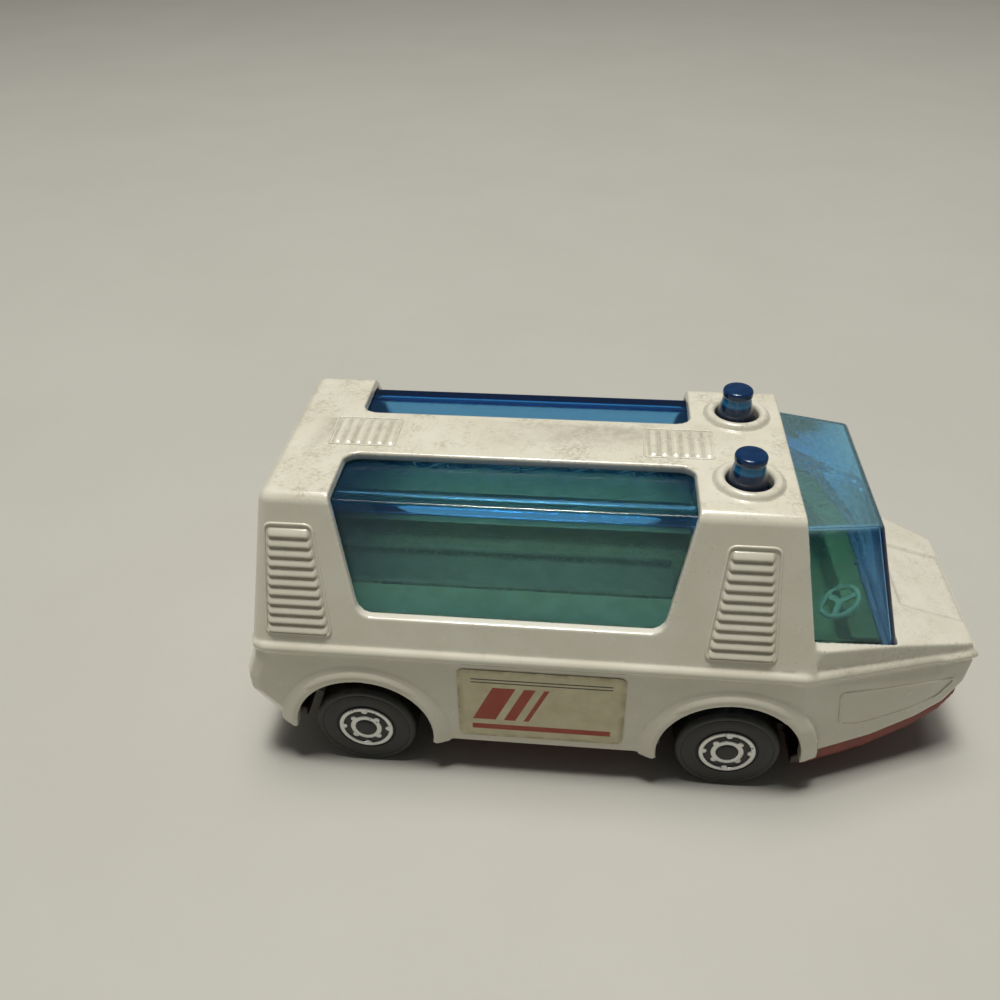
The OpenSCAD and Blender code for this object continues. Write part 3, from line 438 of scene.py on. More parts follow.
# %% Blue plastic
def glazing_finish(name, worn_roof):
    glass = Finish(name, (0.93, 0.98, 1.0), 0.04)
    glass.put("Transmission Weight", 1.0)
    glass.put("IOR", PLASTIC_IOR)
    haze = 0.04
    dusty = (0.01, 0.17, 0.50)
    if worn_roof:
        roof = glass.rise(glass.axis("Z"), 27.6, 28.3)
        scuff = glass.rise(glass.noise(0.3, 4, 0.7), 0.3, 0.7, 0.10, 0.22)
        haze = glass.plus(glass.times(roof, scuff), haze)
        dusty = glass.mix(roof, dusty, (0.34, 0.58, 0.56))
    veil = glass.add("ShaderNodeBsdfDiffuse")
    glass.feed(dusty, veil.inputs["Color"])
    blend = glass.add("ShaderNodeMixShader")
    for number, value in enumerate((haze, glass.shader.outputs["BSDF"], veil.outputs["BSDF"])):
        glass.feed(value, blend.inputs[number])
    result = glass.tree.nodes["Material Output"]
    glass.feed(blend.outputs["Shader"], result.inputs["Surface"])
    scratch = glass.rise(glass.noise(0.22, 2, 0.5, (14, 1, 1), (0, 0, 0.5)), 0.62, 0.70)
    other = glass.rise(glass.noise(0.20, 2, 0.5, (1, 16, 1), (0, 0, 0.35)), 0.64, 0.72)
    lines = glass.larger(scratch, other)
    dust = glass.rise(glass.noise(0.6, 4, 0.7), 0.58, 0.74)
    wear = glass.plus(glass.times(lines, 0.16), glass.times(dust, 0.14))
    glass.rough(glass.plus(wear, 0.035))
    glass.bump(glass.plus(glass.noise(2.5, 2), glass.times(lines, -0.12)), 0.05, 0.4)
    depth = glass.add("ShaderNodeVolumeAbsorption")
    depth.inputs["Color"].default_value = (0.0, 0.66, 0.985, 1)
    depth.inputs["Density"].default_value = 1300.0
    glass.feed(depth.outputs["Volume"], result.inputs["Volume"])
    return glass.made


glazing = glazing_finish("clear_blue_plastic", False)
cab_glass = glazing_finish("scuffed_blue_plastic", True)
print("finishes:", glazing.name, cab_glass.name)

# %% [markdown]
# ### Beacon blue
# The lenses are thick, so they look nearly navy. A lighter band under the cap is painted light,
# for the light that runs through the neck, and the lens is painted darker towards its foot.
# The band follows the height of the lens.

# %% Beacon blue
BEACON_FOOT = ROOF_Z
BEACON_STEP = 2.16


def beacon_finish():
    lens = Finish("beacon_blue_plastic", (0.02, 0.06, 0.14), 0.08)
    up = lens.less(lens.axis("Z"), BEACON_FOOT)
    # Painted light: a lighter band under the cap, for the light that runs through the neck
    band = lens.band(up, BEACON_STEP - 0.75, BEACON_STEP + 0.02, 0.12)
    # Darker towards the foot of the lens
    low = lens.rise(up, 0.2, 1.5, 1.0, 0.0)
    cloud = lens.noise(0.8, 3)
    tint = lens.mix(lens.rise(cloud, 0.3, 0.7), (0.006, 0.028, 0.085), (0.010, 0.040, 0.115))
    tint = lens.mix(lens.times(band, 0.9), tint, (0.022, 0.20, 0.42))
    tint = lens.mix(lens.times(low, 0.8), tint, (0.004, 0.012, 0.040))
    lens.color(tint)
    lens.rough(lens.plus(lens.times(cloud, 0.08), 0.02))
    lens.bump(lens.noise(0.5, 2), 0.02, 0.3)
    lens.put("Transmission Weight", 0.15)
    lens.put("IOR", PLASTIC_IOR)
    return lens.made


beacon_blue = beacon_finish()
print("finish:", beacon_blue.name)

# %% [markdown]
# ### Plain plastics, paint and steel
# The interior is ivory plastic, the base dark red paint, the wheels black plastic with dust on it, and
# the axles drawn wire. Each has a slow change of tone, a finer grain and a roughness that varies.

# %% Plastics, paint and steel
def mottled(name, dark, light, rough, size, grain, depth, metal=0.0):
    """A finish with a slow change of tone and a fine grain."""
    made = Finish(name, light, rough, metal)
    slow = made.rise(made.noise(size, 4), 0.3, 0.7)
    fine = made.noise(grain, 3)
    made.color(made.mix(made.times(made.plus(slow, fine), 0.5), dark, light))
    made.rough(made.plus(made.times(fine, 0.25), rough - 0.12))
    made.bump(fine, depth, 0.4)
    return made.made


def ivory_finish():
    """Ivory plastic, a little different in tone in bay and cab, with near-black painted shade over the
    wheels.
    """
    plastic = Finish("ivory_plastic", (0.6, 0.56, 0.25), 0.45)
    tone = plastic.rise(plastic.noise(2.0, 3), 0.3, 0.7)
    bay = plastic.mix(tone, (0.42, 0.41, 0.12), (0.50, 0.49, 0.17))
    cab = plastic.mix(tone, (0.46, 0.43, 0.07), (0.56, 0.53, 0.11))
    tint = plastic.mix(plastic.rise(plastic.axis("X"), 12.0, 14.0), bay, cab)
    # Near-black painted shade over the wheels, on the outer parts that lie in the arches' deep shadow
    outer = plastic.rise(plastic.math("ABSOLUTE", plastic.axis("Y")), 8.0, 9.0)
    wheel_shade = plastic.times(wheel_rings(plastic, 7.8, 8.1), outer)
    plastic.color(plastic.mix(wheel_shade, tint, (0.012, 0.011, 0.009)))
    plastic.bump(plastic.noise(0.3, 2), 0.02, 0.3)
    return plastic.made


ivory = ivory_finish()
rim_ivory = mottled("pale_ivory_plastic", (0.84, 0.84, 0.28), (0.92, 0.92, 0.36), 0.45, 2.0, 0.3, 0.02)
wire = mottled("drawn_steel", (0.30, 0.29, 0.28), (0.55, 0.54, 0.52), 0.38, 1.0, 0.08, 0.01, 0.9)


def base_finish():
    """Dark red paint, with near-black painted shade inside the wheel arches."""
    paint = Finish("base_red_paint", (0.22, 0.040, 0.028), 0.42)
    fine = paint.noise(0.3, 3)
    tone = paint.times(paint.plus(paint.rise(paint.noise(2.5, 4), 0.3, 0.7), fine), 0.5)
    base = paint.mix(tone, (0.175, 0.022, 0.013), (0.32, 0.043, 0.025))
    # Near-black painted shade near each axle, where the arches lie in deep shadow
    for square in axle_squares(paint):
        arch_shade = paint.rise(paint.math("SQRT", square), 7.2, 7.8, 0.96, 0.0)
        base = paint.mix(arch_shade, base, (0.012, 0.010, 0.009))
    paint.color(base)
    paint.rough(paint.plus(paint.times(fine, 0.25), 0.30))
    paint.bump(fine, 0.03, 0.4)
    return paint.made


base_red = base_finish()


def tyre_finish():
    tyre = Finish("black_wheel_plastic", (0.012, 0.012, 0.011), 0.42)
    dust = tyre.times(tyre.rise(tyre.noise(1.4, 5, 0.65), 0.40, 0.75), 0.5)
    fine = tyre.rise(tyre.noise(0.12, 2), 0.45, 0.8)
    share = tyre.plus(dust, tyre.times(fine, 0.18))
    tyre.color(tyre.mix(share, (0.013, 0.0135, 0.013), (0.048, 0.046, 0.040)))
    tyre.rough(tyre.plus(tyre.times(share, 0.3), 0.42))
    tyre.bump(tyre.noise(0.25, 3), 0.03, 0.4)
    return tyre.made


def foil_finish():
    foil = Finish("hub_silver_foil", (0.80, 0.79, 0.76), 0.38, 0.55)
    worn = foil.rise(foil.noise(0.45, 4, 0.7), 0.60, 0.70)
    foil.color(foil.mix(worn, (0.82, 0.81, 0.78), (0.16, 0.155, 0.14)))
    foil.rough(foil.plus(foil.times(worn, 0.3), 0.28))
    foil.bump(foil.noise(0.2, 3), 0.02, 0.4)
    return foil.made


tyre_black = tyre_finish()
foil_silver = foil_finish()
print("finishes:", [m.name for m in (ivory, rim_ivory, base_red, wire, tyre_black, foil_silver)])

# %% [markdown]
# ### Label paper
# Each side carries an aged cream paper label. Its print is a plain design: slanting red bars between
# thin dark lines, all from object coordinates, with browned edges, creases and rubbed spots.

# %% Label paper
LABEL_X = -6.15
LABEL_Z = 9.8
LABEL_LEN = 15.8
LABEL_HIGH = 9.0


def label_finish():
    paper = Finish("label_paper", (0.60, 0.55, 0.36), 0.6)
    across = paper.less(paper.axis("X"), LABEL_X)
    up = paper.less(paper.axis("Z"), LABEL_Z)
    tone = paper.rise(paper.noise(2.2, 5), 0.3, 0.7)
    base = paper.mix(tone, (0.56, 0.505, 0.315), (0.68, 0.62, 0.42))
    # Slanting bars in three places, in a field between two lines
    lean = paper.less(across, paper.times(up, 0.45))
    field = paper.band(up, -2.1, 2.3, 0.05)
    ink = (0.36, 0.050, 0.024)
    bars = paper.band(lean, -5.6, -3.4, 0.05)
    for low, high in ((-2.6, -1.5), (-0.7, -0.2)):
        bars = paper.larger(bars, paper.band(lean, low, high, 0.05))
    bars = paper.times(bars, field)
    width = paper.band(across, -6.6, 6.7, 0.06)
    stripe = paper.times(paper.band(up, -3.45, -2.75, 0.05), width)
    worn = paper.rise(paper.noise(0.35, 4, 0.7), 0.66, 0.74, 1.0, 0.25)
    base = paper.mix(paper.times(paper.larger(bars, stripe), worn), base, ink)
    thin = paper.larger(paper.band(up, 2.85, 3.0, 0.03), paper.band(up, 3.25, 3.4, 0.03))
    dark = paper.times(thin, width)
    base = paper.mix(paper.times(dark, worn), base, (0.06, 0.05, 0.045))
    # Browned rim and grey rub marks
    rim_x = paper.rise(paper.math("ABSOLUTE", across), LABEL_LEN / 2 - 0.7, LABEL_LEN / 2)
    rim_z = paper.rise(paper.math("ABSOLUTE", up), LABEL_HIGH / 2 - 0.6, LABEL_HIGH / 2)
    rim = paper.times(paper.larger(rim_x, rim_z), paper.rise(paper.noise(1.0, 4), 0.3, 0.7))
    base = paper.mix(paper.times(rim, 0.6), base, (0.22, 0.16, 0.08))
    rub = paper.rise(paper.noise(0.7, 5, 0.7), 0.60, 0.72)
    base = paper.mix(paper.times(rub, 0.3), base, (0.30, 0.27, 0.19))
    paper.color(base)
    paper.rough(paper.plus(paper.times(tone, 0.2), 0.40))
    crease = paper.noise(1.6, 4, 0.6, (4, 1, 1), (0, 0.5, 0))
    paper.bump(paper.plus(crease, paper.times(paper.noise(0.15, 2), 0.3)), 0.06, 0.5)
    return paper.made


label_paper = label_finish()
print("finish:", label_paper.name)

# %% [markdown]
# ### Floor
# A plain pale table under the toy, with just enough grain that it isn't one flat colour.

# %% Floor
FLOOR_HALF = 3000
table_top = mottled("pale_floor", (0.43, 0.42, 0.37), (0.46, 0.45, 0.40), 0.62, 40.0, 0.8, 0.02)
corners = [(x * FLOOR_HALF, y * FLOOR_HALF, 0) for x, y in ((-1, -1), (1, -1), (1, 1), (-1, 1))]
floor = from_points("floor", corners, [(0, 1, 2, 3)], table_top, turn_out=False)
print("floor ready")

# %% [markdown]
# ## Cast body
# The real body is one zinc casting under thick paint, so no edge on it is sharp. Bevelling hundreds of
# edges by hand would break at the corners. A voxel remesh of the exact solid, smoothed a little,
# rounds every edge and fillets every corner by about a quarter of a millimetre, as paint does. The
# nose is eased more than the cabin, and its front face under the belt comes forward, because the
# real one is blunt.

# %% Tools for cast pieces
NOSE_ROUNDS = 16
RELIEF_GAIN = 8.0
# The front face lies ahead of a station, between chin and belt, and moves towards the nose's tip
FACE_FROM = 31.0
FACE_TIP = 34.7
FACE_MOST = 0.95
CHIN_Z = 9.9
CHIN_RISE = 2.4
BELT_Z = 14.0
BELT_FADE = 0.5


def add_ease(piece, rounds):
    """Add a modifier that smooths a piece this many times."""
    ease = piece.modifiers.new("ease", "SMOOTH")
    ease.factor = 0.5
    ease.iterations = rounds
    return ease


def soften(piece, voxel, rounds, most, nose=None):
    """Remesh a solid with small voxels, smooth its edges and thin the result to a triangle count."""
    remesh = piece.modifiers.new("voxels", "REMESH")
    remesh.mode = "VOXEL"
    remesh.voxel_size = voxel * MM
    add_ease(piece, rounds)
    bake(piece)
    if nose is not None:
        ease_nose(piece, nose, NOSE_ROUNDS)
    mark_relief(piece.data)
    count = 2 * len(piece.data.polygons)
    if count > most:
        thin = piece.modifiers.new("thin", "DECIMATE")
        thin.ratio = most / count
        bake(piece)
    smooth(piece.data)
    return piece


def mark_relief(mesh):
    """Store how far each point stands out from its neighbours, smoothed, as the number relief."""
    places, normals = points_of(mesh)
    count = len(places)
    ends = np.empty(len(mesh.edges) * 2, dtype=np.int64)
    mesh.edges.foreach_get("vertices", ends)
    one, other = ends.reshape(-1, 2).T
    links = np.bincount(one, minlength=count) + np.bincount(other, minlength=count)
    links = np.maximum(links, 1)

    def around(values):
        total = np.bincount(one, values[other], count) + np.bincount(other, values[one], count)
        return total / links

    mean = np.stack([around(places[:, k]) for k in range(3)], axis=1)
    step = np.linalg.norm(places[one] - places[other], axis=1).mean()
    relief = np.einsum("ij,ij->i", places - mean, normals) / step * RELIEF_GAIN
    for _ in range(2):
        relief = 0.5 * relief + 0.5 * around(relief)
    store = mesh.attributes.new("relief", "FLOAT", "POINT")
    store.data.foreach_set("value", relief.astype(np.float32))
    print("relief from", round(float(relief.min()), 2), "to", round(float(relief.max()), 2))


def ease_nose(piece, start, rounds):
    """Smooth the points ahead of a station some more, because the nose is rounder than the cabin."""
    places, normals = points_of(piece.data)
    fill_nose(piece.data, places / MM, normals)
    ahead = np.nonzero(places[:, 0] > start * MM)[0]
    group = piece.vertex_groups.new(name="nose")
    group.add([int(i) for i in ahead], 1.0, "REPLACE")
    add_ease(piece, rounds).vertex_group = "nose"
    bake(piece)
    piece.vertex_groups.clear()


def fill_nose(mesh, spots, normals):
    """Bring the front face under the belt forward, because the nose is blunt right down to the chin."""
    face = ramp(normals[:, 0], start=0.15, length=0.5)
    rise = ramp(spots[:, 2], CHIN_Z, CHIN_RISE) * ramp(-spots[:, 2], -BELT_Z, BELT_FADE)
    share = face * rise * (spots[:, 0] > FACE_FROM)
    spots[:, 0] += share * np.clip(FACE_TIP - spots[:, 0], 0, FACE_MOST)
    move_points(mesh, spots)
    print("nose filled at", int((share > 0.1).sum()), "points")


print("tools for cast pieces ready")

# %% Body shell
VOXEL = 0.13
BODY_ROUNDS = 4
BODY_MOST = 190000
NOSE_FROM = 16.5
SOIL_STARTS = (-27.3, 2.5)
SOIL_LEN = 6.2
SOIL_HALF = 2.3
SOIL_LOW = 29.9
SOIL_HIGH = 30.36
SOIL_DEPTH = 0.55


def soil(mesh, start):
    """Mark a strip of the roof as a hollow where soiling stays."""
    for point, value in zip(mesh.vertices, mesh.attributes["relief"].data):
        place = point.co / MM
        along = start < place.x < start + SOIL_LEN
        if along and abs(place.y) < SOIL_HALF and SOIL_LOW < place.z < SOIL_HIGH:
            value.value -= SOIL_DEPTH


body_shell = soften(merged_copy("body_casting", "body_shell"), VOXEL, BODY_ROUNDS, BODY_MOST, NOSE_FROM)
for start in SOIL_STARTS:
    soil(body_shell.data, start)
dress(body_shell.data, enamel)
seat(body_shell, "vehicle", "enamel", "body_casting")

# %% [markdown]
# ## Louvres
# The pillars carry eleven small slats each, in a field that widens downwards, and the roof has two
# rows of bars. They repeat by a rule, so a node tree lays them out: points in a line, a slat on each
# point, and a width that grows with the number of the slat.

# %% Slat forms
def slat_form(name, length, section, ends):
    """A bar along X with the given section (out, up), drawn in towards its rounded ends."""
    half = length / 2
    stations = [(-half, 0.3), (-half + ends * 0.3, 0.75), (-half + ends, 1.0),
                (half - ends, 1.0), (half - ends * 0.3, 0.75), (half, 0.3)]
    mid = sum(u for o, u in section) / len(section)
    points = []
    for x, share in stations:
        points += [(x, o * share if o > 0 else o, mid + (u - mid) * (0.8 + 0.2 * share)) for o, u in section]
    rings, count = len(stations), len(section)
    form = from_points(name, points, end_caps(rings, count) + ring_faces(rings, count))
    smooth(form.data, CREASE)
    return form


PILLAR_SECTION = [(-0.12, 0.05), (0.03, 0.03), (0.14, -0.14), (0.25, -0.40), (0.305, -0.56),
                  (0.31, -0.65), (0.26, -0.72), (0.15, -0.74), (-0.12, -0.74)]
ROOF_SECTION = [(-0.1, 0.27), (0.05, 0.27), (0.12, 0.22), (0.155, 0.12), (0.16, 0.0),
                (0.155, -0.12), (0.12, -0.22), (0.05, -0.27), (-0.1, -0.27)]
UNIT = 5.0
pillar_slat = slat_form("pillar_slat", UNIT, PILLAR_SECTION, 0.35)
roof_slat = slat_form("roof_slat", UNIT, ROOF_SECTION, 0.3)
print("slat forms:", len(pillar_slat.data.polygons), len(roof_slat.data.polygons), "faces")

# %% A short way to write node trees
def start_tree(name, inputs):
    """A geometry node tree with named inputs. Gives the tree, its inputs and its output."""
    tree = bpy.data.node_groups.new(name, "GeometryNodeTree")
    tree.interface.new_socket("Geometry", in_out="OUTPUT", socket_type="NodeSocketGeometry")
    for label, kind in inputs:
        tree.interface.new_socket(label, in_out="INPUT", socket_type="NodeSocket" + kind)
    given = tree.nodes.new("NodeGroupInput").outputs
    return tree, given, tree.nodes.new("NodeGroupOutput").inputs["Geometry"]


def tree_step(tree, kind, inputs, output=0):
    """Add a node to a tree, fill its inputs by name and give one of its outputs."""
    node = tree.nodes.new(kind)
    for label, value in inputs.items():
        join(tree, value, node.inputs[label])
    return node.outputs[output]


def end_tree(tree, shape, finish, result):
    """Make the copies real, give them a finish and send them out of the tree."""
    real = tree_step(tree, "GeometryNodeRealizeInstances", {"Geometry": shape})
    coat = tree_step(tree, "GeometryNodeSetMaterial", {"Geometry": real, "Material": finish})
    tree.links.new(coat, result)


def grow(tree, name, values):
    """Run a node tree on an empty mesh with its inputs set by identifier, and bake the result."""
    piece = link(name, bpy.data.meshes.new(name))
    layer = piece.modifiers.new("grow", "NODES")
    layer.node_group = tree
    for item in tree.interface.items_tree:
        if item.in_out == "INPUT" and item.name in values:
            layer[item.identifier] = values[item.name]
    return bake(piece)


print("tree tools ready")

# %% Node tree for a field of slats
def slat_tree():
    """Lay slats down a field whose two ends move by a step from slat to slat."""
    tree, given, result = start_tree("slat_field", (
        ("Slat", "Object"), ("Count", "Int"), ("Pitch", "Float"), ("Start", "Float"),
        ("Start Step", "Float"), ("End", "Float"), ("End Step", "Float"), ("Unit", "Float"),
        ("Finish", "Material")))
    number = tree_step(tree, "GeometryNodeInputIndex", {})
    start, end = (sums(tree, "ADD", given[name], sums(tree, "MULTIPLY", number, given[name + " Step"]))
                  for name in ("Start", "End"))
    middle = sums(tree, "MULTIPLY", sums(tree, "ADD", start, end), 0.5)
    wide = sums(tree, "DIVIDE", sums(tree, "SUBTRACT", end, start), given["Unit"])
    down = tree_step(tree, "ShaderNodeCombineXYZ", {"Z": sums(tree, "MULTIPLY", given["Pitch"], -1.0)})
    line = tree_step(tree, "GeometryNodeMeshLine", {"Count": given["Count"], "Offset": down})
    shift = tree_step(tree, "ShaderNodeCombineXYZ", {"X": middle})
    place = tree_step(tree, "GeometryNodeSetPosition", {"Geometry": line, "Offset": shift})
    size = tree_step(tree, "ShaderNodeCombineXYZ", {"X": wide, "Y": 1.0, "Z": 1.0})
    slat = tree_step(tree, "GeometryNodeObjectInfo", {"Object": given["Slat"]}, "Geometry")
    copies = tree_step(tree, "GeometryNodeInstanceOnPoints",
                       {"Points": place, "Instance": slat, "Scale": size})
    end_tree(tree, copies, given["Finish"], result)
    return tree


slat_field_tree = slat_tree()
print("tree:", slat_field_tree.name, len(slat_field_tree.nodes), "nodes")

# %% Pillar louvres
ROOF_Y = 10.9
# The cabin side leans out by SIDE_RUN for each millimetre down, which is SIDE_LEAN in degrees
SIDE_RUN = 0.272727
SIDE_LEAN = 15.2551
LOUVRE_TOP = 27.1
SLATS = 11
SLAT_PITCH = 0.931818
SLANT = math.hypot(1.0, SIDE_RUN)


def side_frame(s):
    """Takes points drawn as (x, out, up) from the roof corner onto a leaning cabin side."""
    lean = Matrix.Rotation(math.radians(s * SIDE_LEAN), 4, "X")
    return Matrix.Translation((0, s * ROOF_Y * MM, ROOF_Z * MM)) @ lean @ Matrix.Diagonal((1, s, 1, 1))


def pillar_louvre(name, s, start, start_step, end, end_step):
    """One field of slats on a pillar."""
    field = grow(slat_field_tree, name, {
        "Slat": pillar_slat, "Count": SLATS, "Pitch": SLAT_PITCH * SLANT * MM, "Start": start * MM,
        "Start Step": start_step * MM, "End": end * MM, "End Step": end_step * MM,
        "Unit": UNIT * MM, "Finish": enamel})
    drop = Matrix.Translation((0, 0, (LOUVRE_TOP - ROOF_Z) * SLANT * MM))
    field.data.transform(side_frame(s) @ drop)
    if s < 0:
        field.data.flip_normals()
    smooth(field.data, CREASE)
    seat(field, "vehicle", "enamel")


for s, hand in HANDS:
    pillar_louvre("slats_rear_" + hand, s, -31.0, -0.0665, -27.26, 0.1177)
    pillar_louvre("slats_front_" + hand, s, 9.91, -0.1177, 13.45, 0.1017)

# %% Roof louvres
BARS = 6
BAR_PITCH = 1.02
BAR_HALF = 2.14
for place, x in (("rear", -26.645), ("front", 3.255)):
    bars = grow(slat_field_tree, "roof_bars_" + place, {
        "Slat": roof_slat, "Count": BARS, "Pitch": -BAR_PITCH * MM, "Start": -BAR_HALF * MM,
        "Start Step": 0.0, "End": BAR_HALF * MM, "End Step": 0.0, "Unit": UNIT * MM, "Finish": enamel})
    flat = Matrix(((0, 0, 1, x * MM), (1, 0, 0, 0), (0, 1, 0, ROOF_Z * MM), (0, 0, 0, 1)))
    bars.data.transform(flat)
    smooth(bars.data, CREASE)
    seat(bars, "vehicle", "enamel")
for form in (pillar_slat, roof_slat):
    bpy.data.objects.remove(form)

# %% [markdown]
# ## Raised outlines
# A fine bead runs round each louvre field and round a fin-shaped field on each side of the nose. A
# bead is a thin tube on a path that lies on the body. The path's points are cast onto the shell, so the
# bead sits half sunk in the paint wherever the surface goes.

# %% Beads on the body
# Casts start outside the toy: metres to step back, metres to look ahead, and places in millimetres
CAST_BACK = 0.02
CAST_REACH = 0.08
CAST_Y = 18.0
CAST_Z = 40
shell_mesh = body_shell.data
shell_tree = BVHTree.FromPolygons(
    [v.co for v in shell_mesh.vertices], [tuple(p.vertices) for p in shell_mesh.polygons])


def drop_on(points, way):
    """Cast points in millimetres onto the shell along a direction."""
    found = []
    for point in points:
        start = Vector(point) * MM - Vector(way) * CAST_BACK
        hit = shell_tree.ray_cast(start, Vector(way), CAST_REACH)
        if hit[0] is not None:
            found.append(hit[0] / MM)
    return found


def round_path(corners, radius, steps=5):
    """A closed path with its corners rounded and its sides cut into short stretches."""
    count = len(corners)
    path = []
    for i in range(count):
        back, here, ahead = (Vector(corners[k % count]) for k in (i - 1, i, i + 1))
        reach = min(radius, (back - here).length * 0.45, (ahead - here).length * 0.45)
        path += soft_corner(back, here, ahead, reach, steps)
    full = []
    for i in range(len(path)):
        one, other = path[i], path[(i + 1) % len(path)]
        pieces = max(1, int((other - one).length / 0.5))
        full += [one.lerp(other, k / pieces) for k in range(pieces)]
    return full


def bead_tube(name, path, up, radius, sides=8):
    """A closed tube along a path of points in millimetres, on a face that looks the way named up."""
    count = len(path)
    points = []
    for i in range(count):
        way = (path[(i + 1) % count] - path[i - 1]).normalized()
        across = way.cross(Vector(up)).normalized()
        over = across.cross(way)
        for k in range(sides):
            turn = 2 * math.pi * k / sides
            points.append(path[i] + (across * math.cos(turn) + over * math.sin(turn)) * radius)
    made = from_points(name, points, ring_faces(count, sides, closed=True), enamel)
    smooth(made.data)
    seat(made, "vehicle", "enamel")


def side_bead(name, s, field, corner, radius):
    """A bead round a field of (x, z) corners on one side of the toy."""
    ring = round_path([(x, s * CAST_Y, z) for x, z in field], corner)
    bead_tube(name, drop_on(ring, (0, -s, 0)), (0, s, 0), radius)


REAR_FIELD = [(-31.3, 27.55), (-27.0, 27.55), (-25.7, 16.9), (-31.9, 16.9)]
FRONT_FIELD = [(9.62, 27.55), (14.0, 27.55), (14.68, 16.9), (8.46, 16.9)]
for s, hand in HANDS:
    side_bead("louvre_bead_rear_" + hand, s, REAR_FIELD, 0.7, 0.14)
    side_bead("louvre_bead_front_" + hand, s, FRONT_FIELD, 0.7, 0.14)

# %% Beads on the roof and the nose
ROOF_FIELD_LEN = 6.4
ROOF_FIELD_HALF = 2.45
for place, x in (("rear", -27.45), ("front", 2.4)):
    field = [(x, -ROOF_FIELD_HALF), (x + ROOF_FIELD_LEN, -ROOF_FIELD_HALF),
             (x + ROOF_FIELD_LEN, ROOF_FIELD_HALF), (x, ROOF_FIELD_HALF)]
    ring = round_path([(along, across, CAST_Z) for along, across in field], 0.35)
    bead_tube("roof_bead_" + place, drop_on(ring, (0, 0, -1)), (0, 0, 1), 0.1)
NOSE_FIN = [(21.37, 12.5), (22.0, 8.1), (23.93, 7.42), (26.64, 7.46), (29.31, 7.78), (31.86, 8.66),
            (33.25, 10.66), (29.38, 11.1), (25.66, 11.63)]
for s, hand in HANDS:
    side_bead("nose_bead_" + hand, s, NOSE_FIN, 0.6, 0.13)

# %% Rolled arch lips
ARCH_R = 7.5
LIP_Y = 14.96
LIP_THICK = 0.68
# Angles in degrees up from the front end, where each lip starts and where all of them stop
LIP_FIRST = {"front": 6, "rear": 1}
LIP_LAST = 179


def arch_lip(name, x, s, first):
    """A rolled lip round a wheel arch, thinner towards its two ends."""
    sides, turns = 12, 48
    points = []
    for i in range(turns + 1):
        turn = math.radians(first + (LIP_LAST - first) * i / turns)
        thick = LIP_THICK * min(1.0, 0.25 + 2.6 * min(i, turns - i) / turns)
        out = Vector((math.cos(turn), 0, math.sin(turn)))
        heart = Vector((x, s * LIP_Y, WHEEL_R)) + out * ARCH_R
        for k in range(sides):
            roll = 2 * math.pi * k / sides
            points.append(heart + out * thick * math.cos(roll) + Vector((0, s, 0)) * thick * math.sin(roll))
    faces = end_caps(turns + 1, sides) + ring_faces(turns + 1, sides)
    made = from_points(name, points, faces, enamel)
    smooth(made.data, CREASE)
    seat(made, "vehicle", "enamel")


for s, hand in HANDS:
    for place, x in AXLES.items():
        arch_lip("arch_lip_" + place + "_" + hand, x, s, LIP_FIRST[place])

# %% [markdown]
# ## Windows
# Both blue mouldings are thin shells with folds. At a fold the inner corner is rounder than the outer
# one, so the plastic is thicker there, and shows a bright line with a deep blue band. The cab window
# keeps the outer faces of its solid and gets a wall. The bay window is an arch drawn from its section.

# %% Cab window
PANE = 0.5
PANE_CREASE = 40
FLAT_ANGLE = 0.5
FOLD_ANGLE = 12
# Inner faces look at a point in the cab or pass it within this many millimetres
NEAR_HEART = 2


def thin_shell(piece, heart, thick, fold, segments):
    """Keep the outer faces seen from a point inside, round their folds and give them a thickness."""
    work = bmesh.new()
    work.from_mesh(piece.data)
    flat = math.radians(FLAT_ANGLE)
    bmesh.ops.dissolve_limit(work, angle_limit=flat, verts=work.verts, edges=work.edges)
    inner = [f for f in work.faces if f.normal.dot(f.calc_center_median() - heart) < NEAR_HEART * MM]
    bmesh.ops.delete(work, geom=inner, context="FACES")
    sharp = math.radians(FOLD_ANGLE)
    folds = [e for e in work.edges if len(e.link_faces) == 2 and e.calc_face_angle() > sharp]
    bmesh.ops.bevel(work, geom=folds, offset=fold * MM, segments=segments, profile=0.5,
                    affect="EDGES", clamp_overlap=True)
    work.to_mesh(piece.data)
    work.free()
    wall = piece.modifiers.new("wall", "SOLIDIFY")
    wall.thickness = thick * MM
    wall.offset = -1.0
    wall.use_even_offset = True
    bake(piece)
    smooth(piece.data, PANE_CREASE)
    return piece


cab_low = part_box("cab_glazing")[0]
cab_heart = Vector((cab_low[0], 0.0, cab_low[2]))
cab_window = thin_shell(merged_copy("cab_glazing", "cab_window"), cab_heart, PANE, fold=0.45, segments=5)
dress(cab_window.data, cab_glass)
seat(cab_window, "vehicle", "blue_glazing", "cab_glazing")

# %% Bay window
FOLD_STEPS = 10


def bay_form(name, x0, x1, foot, top, thick, reach_out, reach_in):
    """An arch of even thickness, thicker at its two folds because the inner corner is rounder."""
    lean = (Vector(top) - Vector(foot)).normalized()
    shift = thick / lean.y
    rise = thick * (lean.x / lean.y)
    inner_top = (top[0] - shift - rise, top[1] - thick)
    inner_foot = (foot[0] - shift, foot[1])
    loops = []
    for low, high, reach in ((foot, top, reach_out), (inner_foot, inner_top, reach_in)):
        left_low, left_high = (-low[0], low[1]), (-high[0], high[1])
        loops.append([Vector(left_low)] + soft_corner(left_low, left_high, high, reach, FOLD_STEPS)
                     + soft_corner(left_high, high, low, reach, FOLD_STEPS) + [Vector(low)])
    count = len(loops[0])
    points = [(x, p.x, p.y) for x in (x0, x1) for loop in loops for p in loop]
    faces = []
    for k in range(count - 1):
        a, b, c, d = k, k + count, k + 2 * count, k + 3 * count
        faces += [(a, a + 1, c + 1, c), (b, b + 1, d + 1, d), (a, a + 1, b + 1, b), (c, c + 1, d + 1, d)]
    for k in (0, count - 1):
        faces.append((k, k + count, k + 3 * count, k + 2 * count))
    return from_points(name, points, faces, glazing)


